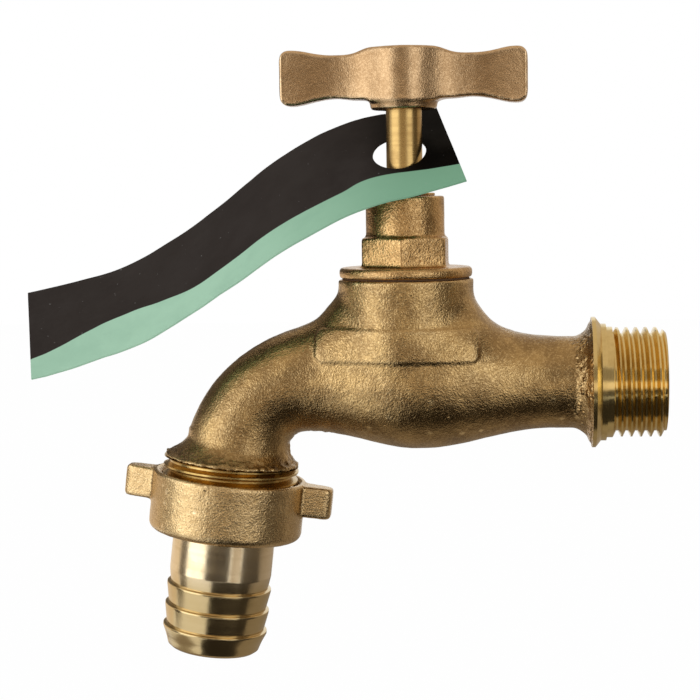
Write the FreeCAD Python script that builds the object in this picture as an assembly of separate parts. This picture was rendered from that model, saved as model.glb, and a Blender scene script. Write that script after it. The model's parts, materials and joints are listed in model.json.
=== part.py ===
import FreeCAD, Part
import math
import os

# A brass hose bibb: a globe valve body with a screw-down spindle, a T-handle,
# and a union nut that holds a barbed hose tail on the outlet thread.
# Millimetres. Origin: centre of the inlet's end face. +X points out of the
# inlet towards the wall, +Z points up along the spindle.

Vector = FreeCAD.Vector

# Parallel pipe threads: G 1/2 at the inlet, G 3/4 at the outlet
INLET_MAJOR_D = 20.955
OUTLET_MAJOR_D = 26.441
PIPE_PITCH = 1.814
PIPE_THREAD_DEPTH = 1.162
INLET_THREAD_LENGTH = 10.1
INLET_BORE_D = 13.8
OUTLET_BORE_D = 16.0

# Where the three axes stand
INLET_REACH = 49.35         # inlet face to the spindle's axis
BEND_REACH = 19.55          # spindle's axis to the start of the spout's bend
BEND_RADIUS = 13.6          # bend of the spout's middle line
OUTLET_TILT = 7.0           # outlet's axis away from straight down, degrees
OUTLET_OFFSET = 1.13        # thread's axis outside the cast spout's middle

# Casting
WALL = 2.2
NECK_R = 8.75
BELLY_DEPTH = 12.65
BELLY_HALF_WIDTH = 13.15
BELLY_SHIFT = 2.35          # deepest place, towards the inlet
BELLY_RUN_IN = 25.3         # length of the swelling on the inlet side
BELLY_RUN_OUT = 21.7        # length of the swelling on the spout side
SPOUT_R = 9.1
SPOUT_END_R = 10.1
SPOUT_RISE = -0.1           # spout's middle above the inlet's axis
BOSS_R = 13.0
BOSS_TOP = 20.2
FLARE_IN = 7.6              # height of the web between the boss and the inlet neck
FLARE_OUT = 8.8             # height of the web between the boss and the spout
FLARE_REACH_IN = 4.1
FLARE_REACH_OUT = 5.2
BEND_FLAT = 0.35            # how far the bend's outside falls short of a round, half way
SECTION_POINTS = 16
SECTION_SQUARENESS = 0.4    # how far the belly's section is from an ellipse, 0 to 1
BARREL_SECTIONS = 18
BEND_SECTIONS = 7
FLARE_STEPS = 6             # points on the turned flares behind the flange and the lip

# Blank name panel, cast on the front
PANEL_LENGTH = 31.0
PANEL_HEIGHT = 6.2
PANEL_MIDDLE_X = -1.35      # from the spindle's axis
PANEL_MIDDLE_Z = 8.0
PANEL_RAISE = 0.35
PANEL_CORNER_R = 1.6

# Inlet flange
FLANGE_R = 12.5
FLANGE_EDGE = 0.7
FLANGE_BACK_RUN = 5.6
FLANGE_SUNK = 0.4           # start of the flange's flare, below the neck's skin
BARREL_START = 0.6          # start of the barrel, as a share of the flange's flare
SHOULDER_R = 11.2
SHOULDER_WIDTH = 1.0
RELIEF_R = 10.6
RELIEF_WIDTH = 1.2
FLANGE_SLOPE = 1.0
THREAD_CHAMFER = 1.0
RIDGE_BASE = 0.46           # half of a thread ridge's foot, in pitches
RIDGE_CREST = 0.09          # half of a thread ridge's crest, in pitches
RIDGE_SUNK = 0.2            # foot of the ridge, below the core's surface

# Outlet lip and thread
LIP_R = 13.1
LIP_START = 2.5             # lip's top edge below the end of the bend
LIP_EDGE = 0.7
LIP_FLARE_SUNK = 0.2        # ends of the lip's flare, inside the spout and the lip
LIP_FLARE_POWER = 1.8
OUTLET_FACE = 11.9          # outlet's end face below the end of the bend
OUTLET_RUN_UP = 2.5

# Valve seat and bridge inside the casting
SEAT_Z = 0.6
SEAT_BORE_R = 6.0
SEAT_RIM_R = 7.4
SEAT_RIM_HEIGHT = 1.2
BRIDGE_THICKNESS = 2.6
CHAMBER_R = 10.3

# Bonnet
GASKET_THICKNESS = 0.5
GASKET_R = 12.2
COLLAR_R = 12.8
COLLAR_HEIGHT = 1.8
COLLAR_ROUND = 0.8
HEX_FLATS = 16.0
HEX_HEIGHT = 5.7
HEX_TURN = 1.5
HEX_CHAMFER = 0.6
GLAND_NECK_R = 7.55
GLAND_NECK_HEIGHT = 7.8
SKIRT_R = 10.45
SKIRT_LENGTH = 8.2
GLAND_BORE_R = 5.4
GLAND_DEPTH = 7.1
LEDGE_THICKNESS = 1.4

# Packing
PACKING_WASHER_THICKNESS = 0.8
PACKING_RING_COUNT = 3
PACKING_RING_HEIGHT = 1.3
GLAND_HEAD_R = 5.8
GLAND_HEAD_HEIGHT = 0.6
GLAND_SLOT_WIDTH = 1.4
GLAND_SLOT_DEPTH = 0.4

# Spindle
SPINDLE_R = 3.45
SPINDLE_THREAD_R = 5.0
SPINDLE_THREAD_ROOT_R = 4.1
SPINDLE_LEAD = 2.0
SPINDLE_TURNS = 2.5
SPINDLE_THREAD_LENGTH = 9.5
SPINDLE_FOOT_R = 4.3
SPINDLE_SQUARE = 4.8
STOP_CLEARANCE = 0.1

# Handle
HANDLE_SPAN = 47.2
HANDLE_END_Z = 53.4         # underside of the wings' ends
HANDLE_END_HEIGHT = 10.6
HANDLE_WAIST_AT = 12.2      # from the spindle's axis
HANDLE_WAIST_Z = 54.7
HANDLE_WAIST_HEIGHT = 8.2
HANDLE_TOP_Z = 64.2
HUB_R = 6.9
HUB_LIP_R = 6.4
HUB_LIP_Z = 52.4
HUB_LIP_HEIGHT = 1.4
WING_END_THICKNESS = 6.0
WING_WAIST_THICKNESS = 4.6
WING_CORNER_R = 1.8
HUB_FLAT = 0.8              # flat top, as a share of the hub's radius
HUB_SIDE = 0.22             # how far the hub's blend stands off the wing, in hub radii
HUB_SIDE_ROUND = (0.5, 0.87)    # a point on the hub's side, in hub radii
HUB_FOOT_DIRECTION = Vector(-0.4, 0, -1)
HANDLE_BLEND = (0.48, 0.3)  # point between waist and hub: shares along and up
HANDLE_RISE = (0.52, 0.4)   # point between waist and wing's end: shares along and up
SOCKET_ROUND_DEPTH = 1.2
SOCKET_ROOF = 2.0

# Handle screw
SCREW_HEAD_R = 3.0
SCREW_HEAD_HEIGHT = 1.3
SCREW_R = 1.7
SCREW_LENGTH = 8.0
SCREW_SLOT_WIDTH = 0.8
SCREW_SLOT_DEPTH = 0.6

# Jumper valve
WASHER_R = 7.8
WASHER_THICKNESS = 3.0
PLATE_R = 8.1
PLATE_THICKNESS = 2.0
JUMPER_STEM_R = 2.5
JUMPER_STEM_LENGTH = 5.6
JUMPER_STUD_R = 1.9
CLIP_THICKNESS = 0.8
CLIP_DEPTH = 0.5
WASHER_NUT_FLATS = 6.6
WASHER_NUT_HEIGHT = 2.2

# Union nut
NUT_WALL = 1.72             # outside the nut's thread
NUT_TOP = 5.95              # nut's top face below the end of the bend
NUT_BOTTOM_ROUND = 1.5
NUT_TOP_ROUND = 0.5
NUT_FLOOR = 2.2
NUT_BORE_CHAMFER = 0.8
NUT_THREAD_PAST = 0.5       # nut's thread past the outlet's face
EAR_REACH = 20.5
EAR_HEIGHT = 6.1
EAR_DROP = 0.3              # ear below the nut's top face
EAR_THICKNESS = 5.6
EAR_CORNER_R = 1.5
EAR_EDGE_R = 0.7
EAR_SUNK = 1.2              # root of the ear, below the nut's skin

# Tail washer and hose tail
TAIL_WASHER_THICKNESS = 1.5
TAIL_COLLAR_THICKNESS = 2.0
TAIL_BORE_D = 15.2
TAIL_NECK_R = 10.0
TAIL_NECK_SHOWN = 7.6       # straight neck below the nut
BARB_COUNT = 3
BARB_R = 10.25
BARB_ROOT_R = 9.6
BARB_PITCH = 4.18
BARB_LAND = 0.5
BARB_STEP = 0.12
TAIL_TAPER = 2.8            # from the straight neck down to the first barb
TAIL_END_LENGTH = 3.9       # from the last barb's land to the free end
TAIL_NOSE = [(9.25, 1.4), (9.0, 0.5), (8.3, 0.0)]   # radii and heights above the free end
TAIL_NOSE_RUN = 0.6         # share of the end cone that is at the barbs' root radius

# Hang tag
TAG_WIDTH = 28.6
TAG_THICKNESS = 0.35
TAG_HOLE_D = 10.3
TAG_HOLE_X = -0.85          # from the spindle's axis
TAG_HOLE_Z = 43.7
TAG_ACROSS = Vector(0.235, -0.81, -0.53)
# The strip's bends, along it and square to it, from the middle of its hole
TAG_ROUTE = [(-9.9, 1.7), (-5.0, 0.9), (0.0, 0.1), (5.0, -0.3), (10.0, -1.3), (15.0, -2.9),
             (25.0, -7.8), (35.0, -14.9), (45.0, -21.0), (55.0, -25.9), (65.0, -28.1),
             (75.9, -29.6)]

# Fits
RUNNING_CLEARANCE = 0.06    # round running fits and threads, on the radius
SLIDING_GAP = 0.3           # loose round fits, on the radius
FACE_GAP = 0.1              # between faces that turn on each other

# Worked out from the sizes above

SPINDLE_X = -INLET_REACH
BEND_X = SPINDLE_X - BEND_REACH
GASKET_TOP = BOSS_TOP + GASKET_THICKNESS
COLLAR_TOP = GASKET_TOP + COLLAR_HEIGHT
HEX_TOP = COLLAR_TOP + HEX_HEIGHT
GLAND_TOP = HEX_TOP + GLAND_NECK_HEIGHT
GLAND_FLOOR = GLAND_TOP - GLAND_DEPTH
LEDGE_BOTTOM = GLAND_FLOOR - LEDGE_THICKNESS
SKIRT_BOTTOM = BOSS_TOP - SKIRT_LENGTH
SEAT_FLOOR = SEAT_Z - SEAT_RIM_HEIGHT
WASHER_TOP = SEAT_Z + WASHER_THICKNESS
PLATE_TOP = WASHER_TOP + PLATE_THICKNESS
SPINDLE_BOTTOM = PLATE_TOP + FACE_GAP
SPINDLE_LIFT = SPINDLE_LEAD * SPINDLE_TURNS
SPINDLE_THREAD_TOP = LEDGE_BOTTOM - SPINDLE_LIFT - STOP_CLEARANCE
SPINDLE_THREAD_BOTTOM = SPINDLE_THREAD_TOP - SPINDLE_THREAD_LENGTH
SOCKET_SQUARE_Z = HUB_LIP_Z + SOCKET_ROUND_DEPTH
SPINDLE_TOP = HANDLE_TOP_Z - SCREW_HEAD_HEIGHT - SOCKET_ROOF
SHOULDER_X = -INLET_THREAD_LENGTH - RELIEF_WIDTH
FLANGE_X = SHOULDER_X - SHOULDER_WIDTH - FLANGE_SLOPE
NECK_X = FLANGE_X - FLANGE_EDGE - FLANGE_BACK_RUN
NUT_SHOULDER = OUTLET_FACE + TAIL_WASHER_THICKNESS + TAIL_COLLAR_THICKNESS
NUT_BOTTOM = NUT_SHOULDER + NUT_FLOOR
NUT_BORE_R = OUTLET_MAJOR_D / 2 + RUNNING_CLEARANCE
NUT_R = NUT_BORE_R + NUT_WALL
NUT_CHAMBER_R = OUTLET_MAJOR_D / 2 - PIPE_THREAD_DEPTH + SLIDING_GAP
TAIL_COLLAR_R = NUT_CHAMBER_R - SLIDING_GAP
FIRST_BARB = NUT_BOTTOM + TAIL_NECK_SHOWN + TAIL_TAPER
BEND_SWEEP = math.radians(90 - OUTLET_TILT)


def bend_centre(angle):
    """Point on the spout's middle line, where it has turned by the angle."""
    return Vector(BEND_X - BEND_RADIUS * math.sin(angle), 0,
                  SPOUT_RISE - BEND_RADIUS * (1 - math.cos(angle)))


def outer_side(angle):
    """Unit vector that points to the outside of the spout's bend."""
    return Vector(-math.sin(angle), 0, math.cos(angle))


INLET = FreeCAD.Placement(Vector(0, 0, 0), FreeCAD.Rotation(Vector(0, 1, 0), 90))
SPINDLE = FreeCAD.Placement(Vector(SPINDLE_X, 0, 0), FreeCAD.Rotation())
OUTLET_ORIGIN = bend_centre(BEND_SWEEP) + outer_side(BEND_SWEEP) * OUTLET_OFFSET
OUTLET = FreeCAD.Placement(OUTLET_ORIGIN,
                           FreeCAD.Rotation(Vector(0, 1, 0), 180 + OUTLET_TILT))


def placed(shape, place):
    """A copy of the shape, moved from its own axes to the given place."""
    moved = shape.copy()
    moved.Placement = place.multiply(moved.Placement)
    return moved


def turned(outline, place):
    """Solid turned about the local Z axis; the outline is a list of (radius, height) points."""
    corners = [Vector(r, 0, z) for r, z in outline]
    wire = Part.makePolygon(corners + corners[:1])
    return placed(Part.Face(wire).revolve(Vector(0, 0, 0), Vector(0, 0, 1), 360), place)


def cylinder(radius, bottom, top, place):
    """Cylinder on the local Z axis between two heights."""
    return placed(Part.makeCylinder(radius, top - bottom, Vector(0, 0, bottom)), place)


def ring(inner, outer, bottom, top, place):
    """Plain ring on the local Z axis between two heights."""
    return turned([(inner, bottom), (outer, bottom), (outer, top), (inner, top)], place)


def hexagon(flats, bottom, top, turn, place):
    """Hexagonal prism with a corner towards local -Y, then turned clockwise by some degrees."""
    radius = flats / math.sqrt(3)
    angles = [math.radians(-90 - turn + 60 * k) for k in range(6)]
    corners = [Vector(radius * math.cos(a), radius * math.sin(a), bottom) for a in angles]
    face = Part.Face(Part.makePolygon(corners + corners[:1]))
    return placed(face.extrude(Vector(0, 0, top - bottom)), place)


def rounded(shape, radius, chosen):
    """The shape with a fillet on each edge that the test chooses."""
    edges = [edge for edge in shape.Edges if chosen(edge)]
    return shape.makeFillet(radius, edges)


def circle_at(radius, height):
    """Test for a full circle of the given radius at the given height on the local Z axis."""
    def chosen(edge):
        return (isinstance(edge.Curve, Part.Circle)
                and abs(edge.Curve.Radius - radius) < 1e-4
                and abs(edge.Curve.Center.z - height) < 1e-4)
    return chosen


def thread_ridge(major_r, root_r, pitch, start, end, place):
    """Helical ridge of a V thread on the local Z axis."""
    foot_r = root_r - RIDGE_SUNK
    base = RIDGE_BASE * pitch
    crest = RIDGE_CREST * pitch
    helix = Part.makeHelix(pitch, end - start, root_r)
    helix.translate(Vector(0, 0, start))
    corners = [Vector(foot_r, 0, start - base), Vector(major_r, 0, start - crest),
               Vector(major_r, 0, start + crest), Vector(foot_r, 0, start + base)]
    profile = Part.makePolygon(corners + corners[:1])
    ridge = Part.Wire(helix.Edges).makePipeShell([profile], True, True)
    return placed(ridge, place)


def swelling(u):
    """Share of the belly's extra size at a distance from the spindle's axis, inlet side positive."""
    offset = u - BELLY_SHIFT
    run = BELLY_RUN_IN if offset > 0 else BELLY_RUN_OUT
    if abs(offset) >= run:
        return 0.0
    return math.cos(math.pi * offset / (2 * run)) ** 2


def blend(u, inlet_value, spout_value):
    """Value that goes over from the inlet side's to the spout side's below the boss."""
    share = min(max((BOSS_R - u) / (2 * BOSS_R), 0), 1)
    return inlet_value + (spout_value - inlet_value) * share


def flare(u):
    """Height of the web between the boss and the barrel, over the barrel's own top."""
    fall = max(u - BOSS_R, 0) / FLARE_REACH_IN + max(-u - BOSS_R, 0) / FLARE_REACH_OUT
    return blend(u, FLARE_IN, FLARE_OUT) * math.exp(-fall)


def section(centre, up, half_width, above, below, squareness=0.0):
    """Closed smooth curve across the casting: half ellipses above and below the centre.

    The squareness fills out the upper half, towards the boss that stands on it.
    """
    points = []
    for k in range(SECTION_POINTS):
        angle = 2 * math.pi * k / SECTION_POINTS
        across = math.cos(angle)
        height = math.sin(angle)
        rise = below
        if height > 0:
            rise = above
            across = math.copysign(abs(across) ** (1 - squareness), across)
        side = Vector(0, half_width * across, 0)
        points.append(centre + side + up * (rise * height))
    curve = Part.BSplineCurve()
    curve.interpolate(points, PeriodicFlag=True)
    return Part.Wire([curve.toShape()])


def barrel(grow, ceiling):
    """Loft of the whole barrel, from the inlet neck through the belly and along the spout.

    The surface is offset by grow, and the belly's top stays below the ceiling.
    """
    first = NECK_X + BARREL_START * FLANGE_BACK_RUN - SPINDLE_X
    sections = []
    for k in range(BARREL_SECTIONS):
        u = first - (first + BEND_REACH) * k / BARREL_SECTIONS
        base = blend(u, NECK_R, SPOUT_R - SPOUT_RISE)
        top = blend(u, NECK_R, SPOUT_R + SPOUT_RISE)
        swell = swelling(u)
        half_width = base + (BELLY_HALF_WIDTH - base) * swell
        below = base + (BELLY_DEPTH - base) * swell
        above = min(top + flare(u) + grow, ceiling)
        centre = Vector(SPINDLE_X + u, 0, 0)
        sections.append(section(centre, Vector(0, 0, 1), half_width + grow, above, below + grow,
                                SECTION_SQUARENESS * swell))
    for k in range(BEND_SECTIONS + 1):
        share = k / BEND_SECTIONS
        angle = BEND_SWEEP * share
        centre = bend_centre(angle)
        radius = SPOUT_R + (SPOUT_END_R - SPOUT_R) * share ** 3 + grow
        above = radius + flare(centre.x - SPINDLE_X) - BEND_FLAT * math.sin(math.pi * share)
        sections.append(section(centre, outer_side(angle), radius, min(above, ceiling), radius))
    return Part.makeLoft(sections, True, False)


def inlet_end():
    """Cast flare, flange edge, machined shoulders and thread core of the inlet."""
    back = FLANGE_X - FLANGE_EDGE
    core_r = INLET_MAJOR_D / 2 - PIPE_THREAD_DEPTH
    start_r = NECK_R - FLANGE_SUNK
    flare_points = []
    for k in range(FLARE_STEPS + 1):
        share = k / FLARE_STEPS
        rise = (FLANGE_R - start_r) * (1 - math.sqrt(1 - share ** 2))
        flare_points.append((start_r + rise, NECK_X + (back - NECK_X) * share))
    outline = [(0, NECK_X)] + flare_points
    outline += [(FLANGE_R, FLANGE_X), (SHOULDER_R, FLANGE_X + FLANGE_SLOPE),
                (SHOULDER_R, SHOULDER_X), (RELIEF_R, SHOULDER_X),
                (RELIEF_R, -INLET_THREAD_LENGTH), (core_r, -INLET_THREAD_LENGTH),
                (core_r, 0), (0, 0)]
    return turned(outline, INLET)


def lip_flare():
    """Cast flare from the end of the spout, which is off the outlet's axis, out to the lip."""
    start = -OUTLET_RUN_UP / 2
    run = LIP_START + LIP_FLARE_SUNK - start
    start_r = SPOUT_END_R - LIP_FLARE_SUNK
    end_r = LIP_R - LIP_FLARE_SUNK
    circles = []
    for k in range(FLARE_STEPS + 1):
        share = k / FLARE_STEPS
        radius = start_r + (end_r - start_r) * share ** LIP_FLARE_POWER
        centre = Vector(-OUTLET_OFFSET * (1 - share), 0, start + run * share)
        circles.append(Part.Wire([Part.makeCircle(radius, centre)]))
    return placed(Part.makeLoft(circles, True, False), OUTLET)


def outlet_end():
    """Cast lip and thread core of the outlet."""
    core_r = OUTLET_MAJOR_D / 2 - PIPE_THREAD_DEPTH
    neck_r = SPOUT_END_R - OUTLET_OFFSET
    outline = [(0, -OUTLET_RUN_UP), (neck_r, -OUTLET_RUN_UP), (neck_r, LIP_START),
               (LIP_R, LIP_START), (LIP_R, LIP_START + LIP_EDGE),
               (core_r, LIP_START + LIP_EDGE), (core_r, OUTLET_FACE), (0, OUTLET_FACE)]
    return turned(outline, OUTLET)


def cut_thread(major_r, start, end, place):
    """Ridge of a pipe thread, trimmed between two heights and chamfered at its open top."""
    root_r = major_r - PIPE_THREAD_DEPTH
    ridge = thread_ridge(major_r, root_r, PIPE_PITCH, start - PIPE_PITCH, end + PIPE_PITCH, place)
    inner = root_r - PIPE_THREAD_DEPTH / 2
    trim = [(inner, start), (major_r + 1, start), (major_r + 1, end - THREAD_CHAMFER - 1),
            (major_r - THREAD_CHAMFER, end), (inner, end)]
    return ridge.common(turned(trim, place))


def name_panel():
    """Low raised panel on the front, left blank."""
    thick = barrel(PANEL_RAISE, BOSS_TOP)
    thick = thick.fuse(cylinder(BOSS_R + PANEL_RAISE, 0, BOSS_TOP, SPINDLE))
    depth = 2 * BELLY_HALF_WIDTH
    block = Part.makeBox(PANEL_LENGTH, depth, PANEL_HEIGHT,
                         Vector(SPINDLE_X + PANEL_MIDDLE_X - PANEL_LENGTH / 2, -depth,
                                PANEL_MIDDLE_Z - PANEL_HEIGHT / 2))
    block = rounded(block, PANEL_CORNER_R, lambda edge: abs(edge.tangentAt(0).y) > 0.9)
    return thick.common(block)


def waterway():
    """The space inside the casting: both chambers, less the bridge that carries the seat."""
    core = barrel(-WALL, SKIRT_BOTTOM - 1)
    low = 2 * BELLY_DEPTH
    side = 2 * BELLY_HALF_WIDTH
    floor = SEAT_FLOOR - BRIDGE_THICKNESS
    right = SPINDLE_X + CHAMBER_R
    left = SPINDLE_X - CHAMBER_R - BRIDGE_THICKNESS
    right_wall = Part.makeBox(BRIDGE_THICKNESS, side, BOSS_TOP - floor,
                              Vector(right, -side / 2, floor))
    seat_wall = Part.makeBox(right + BRIDGE_THICKNESS - left, side, BRIDGE_THICKNESS,
                             Vector(left, -side / 2, floor))
    left_wall = Part.makeBox(BRIDGE_THICKNESS, side, low, Vector(left, -side / 2, SEAT_FLOOR - low))
    bridge = right_wall.fuse([seat_wall, left_wall])
    core = core.cut(bridge)
    chamber = cylinder(CHAMBER_R, SEAT_FLOOR, SKIRT_BOTTOM, SPINDLE)
    mouth = cylinder(SKIRT_R + RUNNING_CLEARANCE, SKIRT_BOTTOM - 1, BOSS_TOP, SPINDLE)
    inlet = cylinder(INLET_BORE_D / 2, NECK_X - WALL, 0, INLET)
    outlet = cylinder(OUTLET_BORE_D / 2, -OUTLET_RUN_UP, OUTLET_FACE, OUTLET)
    return core.fuse([chamber, mouth, inlet, outlet])


def make_body():
    """Sand-cast body with its threads, bores and valve seat."""
    body = barrel(0, BOSS_TOP - 1)
    boss = cylinder(BOSS_R, 0, BOSS_TOP, SPINDLE)
    body = body.fuse([boss, inlet_end(), lip_flare(), outlet_end(), name_panel()])
    body = body.cut(waterway())
    rim = cylinder(SEAT_RIM_R, SEAT_FLOOR - BRIDGE_THICKNESS / 2, SEAT_Z, SPINDLE)
    body = body.fuse(rim)
    hole = cylinder(SEAT_BORE_R, SEAT_FLOOR - 1.5 * BRIDGE_THICKNESS, SEAT_Z, SPINDLE)
    body = body.cut(hole)
    inlet_thread = cut_thread(INLET_MAJOR_D / 2, -INLET_THREAD_LENGTH, 0, INLET)
    outlet_thread = cut_thread(OUTLET_MAJOR_D / 2, LIP_START + LIP_EDGE, OUTLET_FACE, OUTLET)
    return body.fuse([inlet_thread, outlet_thread])


def make_bonnet():
    """Collar, hexagon, gland neck and screwed skirt in one piece, bored for the spindle."""
    collar = Part.makeCylinder(COLLAR_R, COLLAR_HEIGHT, Vector(0, 0, GASKET_TOP))
    collar = rounded(collar, COLLAR_ROUND, circle_at(COLLAR_R, COLLAR_TOP))
    collar = rounded(collar, COLLAR_ROUND / 2, circle_at(COLLAR_R, GASKET_TOP))
    hexagon_part = hexagon(HEX_FLATS, COLLAR_TOP, HEX_TOP, HEX_TURN, SPINDLE)
    corner_r = HEX_FLATS / math.sqrt(3)
    cone = turned([(0, COLLAR_TOP), (corner_r + HEX_CHAMFER, COLLAR_TOP),
                   (corner_r + HEX_CHAMFER, HEX_TOP - 2 * HEX_CHAMFER),
                   (corner_r - HEX_CHAMFER, HEX_TOP), (0, HEX_TOP)], SPINDLE)
    neck = cylinder(GLAND_NECK_R, HEX_TOP, GLAND_TOP, SPINDLE)
    skirt = cylinder(SKIRT_R, SKIRT_BOTTOM, GASKET_TOP, SPINDLE)
    bonnet = placed(collar, SPINDLE).fuse([hexagon_part.common(cone), neck, skirt])
    thread_bore = cylinder(SPINDLE_THREAD_R + RUNNING_CLEARANCE, SKIRT_BOTTOM, LEDGE_BOTTOM,
                           SPINDLE)
    shaft_bore = cylinder(SPINDLE_R + RUNNING_CLEARANCE, LEDGE_BOTTOM, GLAND_FLOOR, SPINDLE)
    gland_bore = cylinder(GLAND_BORE_R, GLAND_FLOOR, GLAND_TOP, SPINDLE)
    return bonnet.cut(thread_bore.fuse([shaft_bore, gland_bore]))


def make_bonnet_gasket():
    """Thin fibre ring between the boss and the bonnet's collar."""
    return ring(SKIRT_R + RUNNING_CLEARANCE, GASKET_R, BOSS_TOP, GASKET_TOP, SPINDLE)


def make_packing_washer():
    """Flat brass washer under the packing rings."""
    return ring(SPINDLE_R + RUNNING_CLEARANCE, GLAND_BORE_R - RUNNING_CLEARANCE, GLAND_FLOOR,
                GLAND_FLOOR + PACKING_WASHER_THICKNESS, SPINDLE)


def packing_ring_bottom(index):
    """Height of the underside of a packing ring, counted from the lowest."""
    return GLAND_FLOOR + PACKING_WASHER_THICKNESS + index * PACKING_RING_HEIGHT


def make_packing_ring(index):
    """One of the square graphite rings round the spindle."""
    bottom = packing_ring_bottom(index)
    return ring(SPINDLE_R + RUNNING_CLEARANCE, GLAND_BORE_R - RUNNING_CLEARANCE, bottom,
                bottom + PACKING_RING_HEIGHT, SPINDLE)


def make_gland_screw():
    """Slotted ring screw that presses on the packing."""
    bottom = packing_ring_bottom(PACKING_RING_COUNT)
    bore = SPINDLE_R + RUNNING_CLEARANCE
    top = GLAND_TOP + GLAND_HEAD_HEIGHT
    screw = turned([(bore, bottom), (GLAND_BORE_R - RUNNING_CLEARANCE, bottom),
                    (GLAND_BORE_R - RUNNING_CLEARANCE, GLAND_TOP), (GLAND_HEAD_R, GLAND_TOP),
                    (GLAND_HEAD_R, top), (bore, top)], SPINDLE)
    slot = Part.makeBox(2 * GLAND_HEAD_R + 2, GLAND_SLOT_WIDTH, GLAND_SLOT_DEPTH,
                        Vector(-GLAND_HEAD_R - 1, -GLAND_SLOT_WIDTH / 2, top - GLAND_SLOT_DEPTH))
    return screw.cut(placed(slot, SPINDLE))


def make_spindle():
    """Spindle with a coarse thread, a foot that holds the jumper and a square end."""
    foot = cylinder(SPINDLE_FOOT_R, SPINDLE_BOTTOM, SPINDLE_THREAD_BOTTOM, SPINDLE)
    root = cylinder(SPINDLE_THREAD_ROOT_R, SPINDLE_THREAD_BOTTOM, SPINDLE_THREAD_TOP, SPINDLE)
    shaft = cylinder(SPINDLE_R, SPINDLE_THREAD_TOP, SOCKET_SQUARE_Z, SPINDLE)
    square = Part.makeBox(SPINDLE_SQUARE, SPINDLE_SQUARE, SPINDLE_TOP - SOCKET_SQUARE_Z,
                          Vector(-SPINDLE_SQUARE / 2, -SPINDLE_SQUARE / 2, SOCKET_SQUARE_Z))
    ridge = thread_ridge(SPINDLE_THREAD_R, SPINDLE_THREAD_ROOT_R, SPINDLE_LEAD,
                         SPINDLE_THREAD_BOTTOM - SPINDLE_LEAD, SPINDLE_THREAD_TOP + SPINDLE_LEAD,
                         SPINDLE)
    span = ring(SPINDLE_THREAD_ROOT_R / 2, SPINDLE_THREAD_R + 1, SPINDLE_THREAD_BOTTOM,
                SPINDLE_THREAD_TOP, SPINDLE)
    spindle = foot.fuse([root, shaft, placed(square, SPINDLE), ridge.common(span)])
    socket = cylinder(JUMPER_STEM_R + RUNNING_CLEARANCE, SPINDLE_BOTTOM,
                      PLATE_TOP + JUMPER_STEM_LENGTH + FACE_GAP, SPINDLE)
    clip_room = cylinder(JUMPER_STEM_R + CLIP_DEPTH + SLIDING_GAP, clip_bottom() - FACE_GAP,
                         clip_bottom() + CLIP_THICKNESS + FACE_GAP, SPINDLE)
    tapped = cylinder(SCREW_R + RUNNING_CLEARANCE, SPINDLE_TOP - SCREW_LENGTH + SOCKET_ROOF,
                      SPINDLE_TOP, SPINDLE)
    return spindle.cut(socket.fuse([clip_room, tapped]))


def clip_bottom():
    """Height of the underside of the ring that keeps the jumper's stem in the spindle."""
    return PLATE_TOP + JUMPER_STEM_LENGTH / 2


def make_jumper():
    """Valve disc with a stem that turns loose in the spindle and a stud for the washer."""
    jumper = turned([(0, SEAT_Z - WASHER_NUT_HEIGHT), (JUMPER_STUD_R, SEAT_Z - WASHER_NUT_HEIGHT),
                     (JUMPER_STUD_R, WASHER_TOP), (PLATE_R, WASHER_TOP), (PLATE_R, PLATE_TOP),
                     (JUMPER_STEM_R, PLATE_TOP), (JUMPER_STEM_R, PLATE_TOP + JUMPER_STEM_LENGTH),
                     (0, PLATE_TOP + JUMPER_STEM_LENGTH)], SPINDLE)
    groove = ring(JUMPER_STEM_R - CLIP_DEPTH, JUMPER_STEM_R + 1, clip_bottom(),
                  clip_bottom() + CLIP_THICKNESS, SPINDLE)
    return jumper.cut(groove)


def make_jumper_clip():
    """Open spring ring in the groove of the jumper's stem."""
    clip = ring(JUMPER_STEM_R - CLIP_DEPTH, JUMPER_STEM_R + CLIP_DEPTH, clip_bottom(),
                clip_bottom() + CLIP_THICKNESS, SPINDLE)
    gap = Part.makeBox(2 * JUMPER_STEM_R, JUMPER_STEM_R, 2 * CLIP_THICKNESS,
                       Vector(0, -JUMPER_STEM_R / 2, clip_bottom() - CLIP_THICKNESS / 2))
    return clip.cut(placed(gap, SPINDLE))


def make_seat_washer():
    """Rubber washer that closes the seat."""
    return ring(JUMPER_STUD_R, WASHER_R, SEAT_Z, WASHER_TOP, SPINDLE)


def make_washer_nut():
    """Small hexagon nut under the seat washer."""
    nut = hexagon(WASHER_NUT_FLATS, SEAT_Z - WASHER_NUT_HEIGHT, SEAT_Z, 0, SPINDLE)
    return nut.cut(cylinder(JUMPER_STUD_R, SEAT_Z - WASHER_NUT_HEIGHT, SEAT_Z, SPINDLE))


def between(start, end, shares):
    """Point from start towards end, with one share for the run and one for the rise."""
    return Vector(start.x + (end.x - start.x) * shares[0], 0,
                  start.z + (end.z - start.z) * shares[1])


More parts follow.
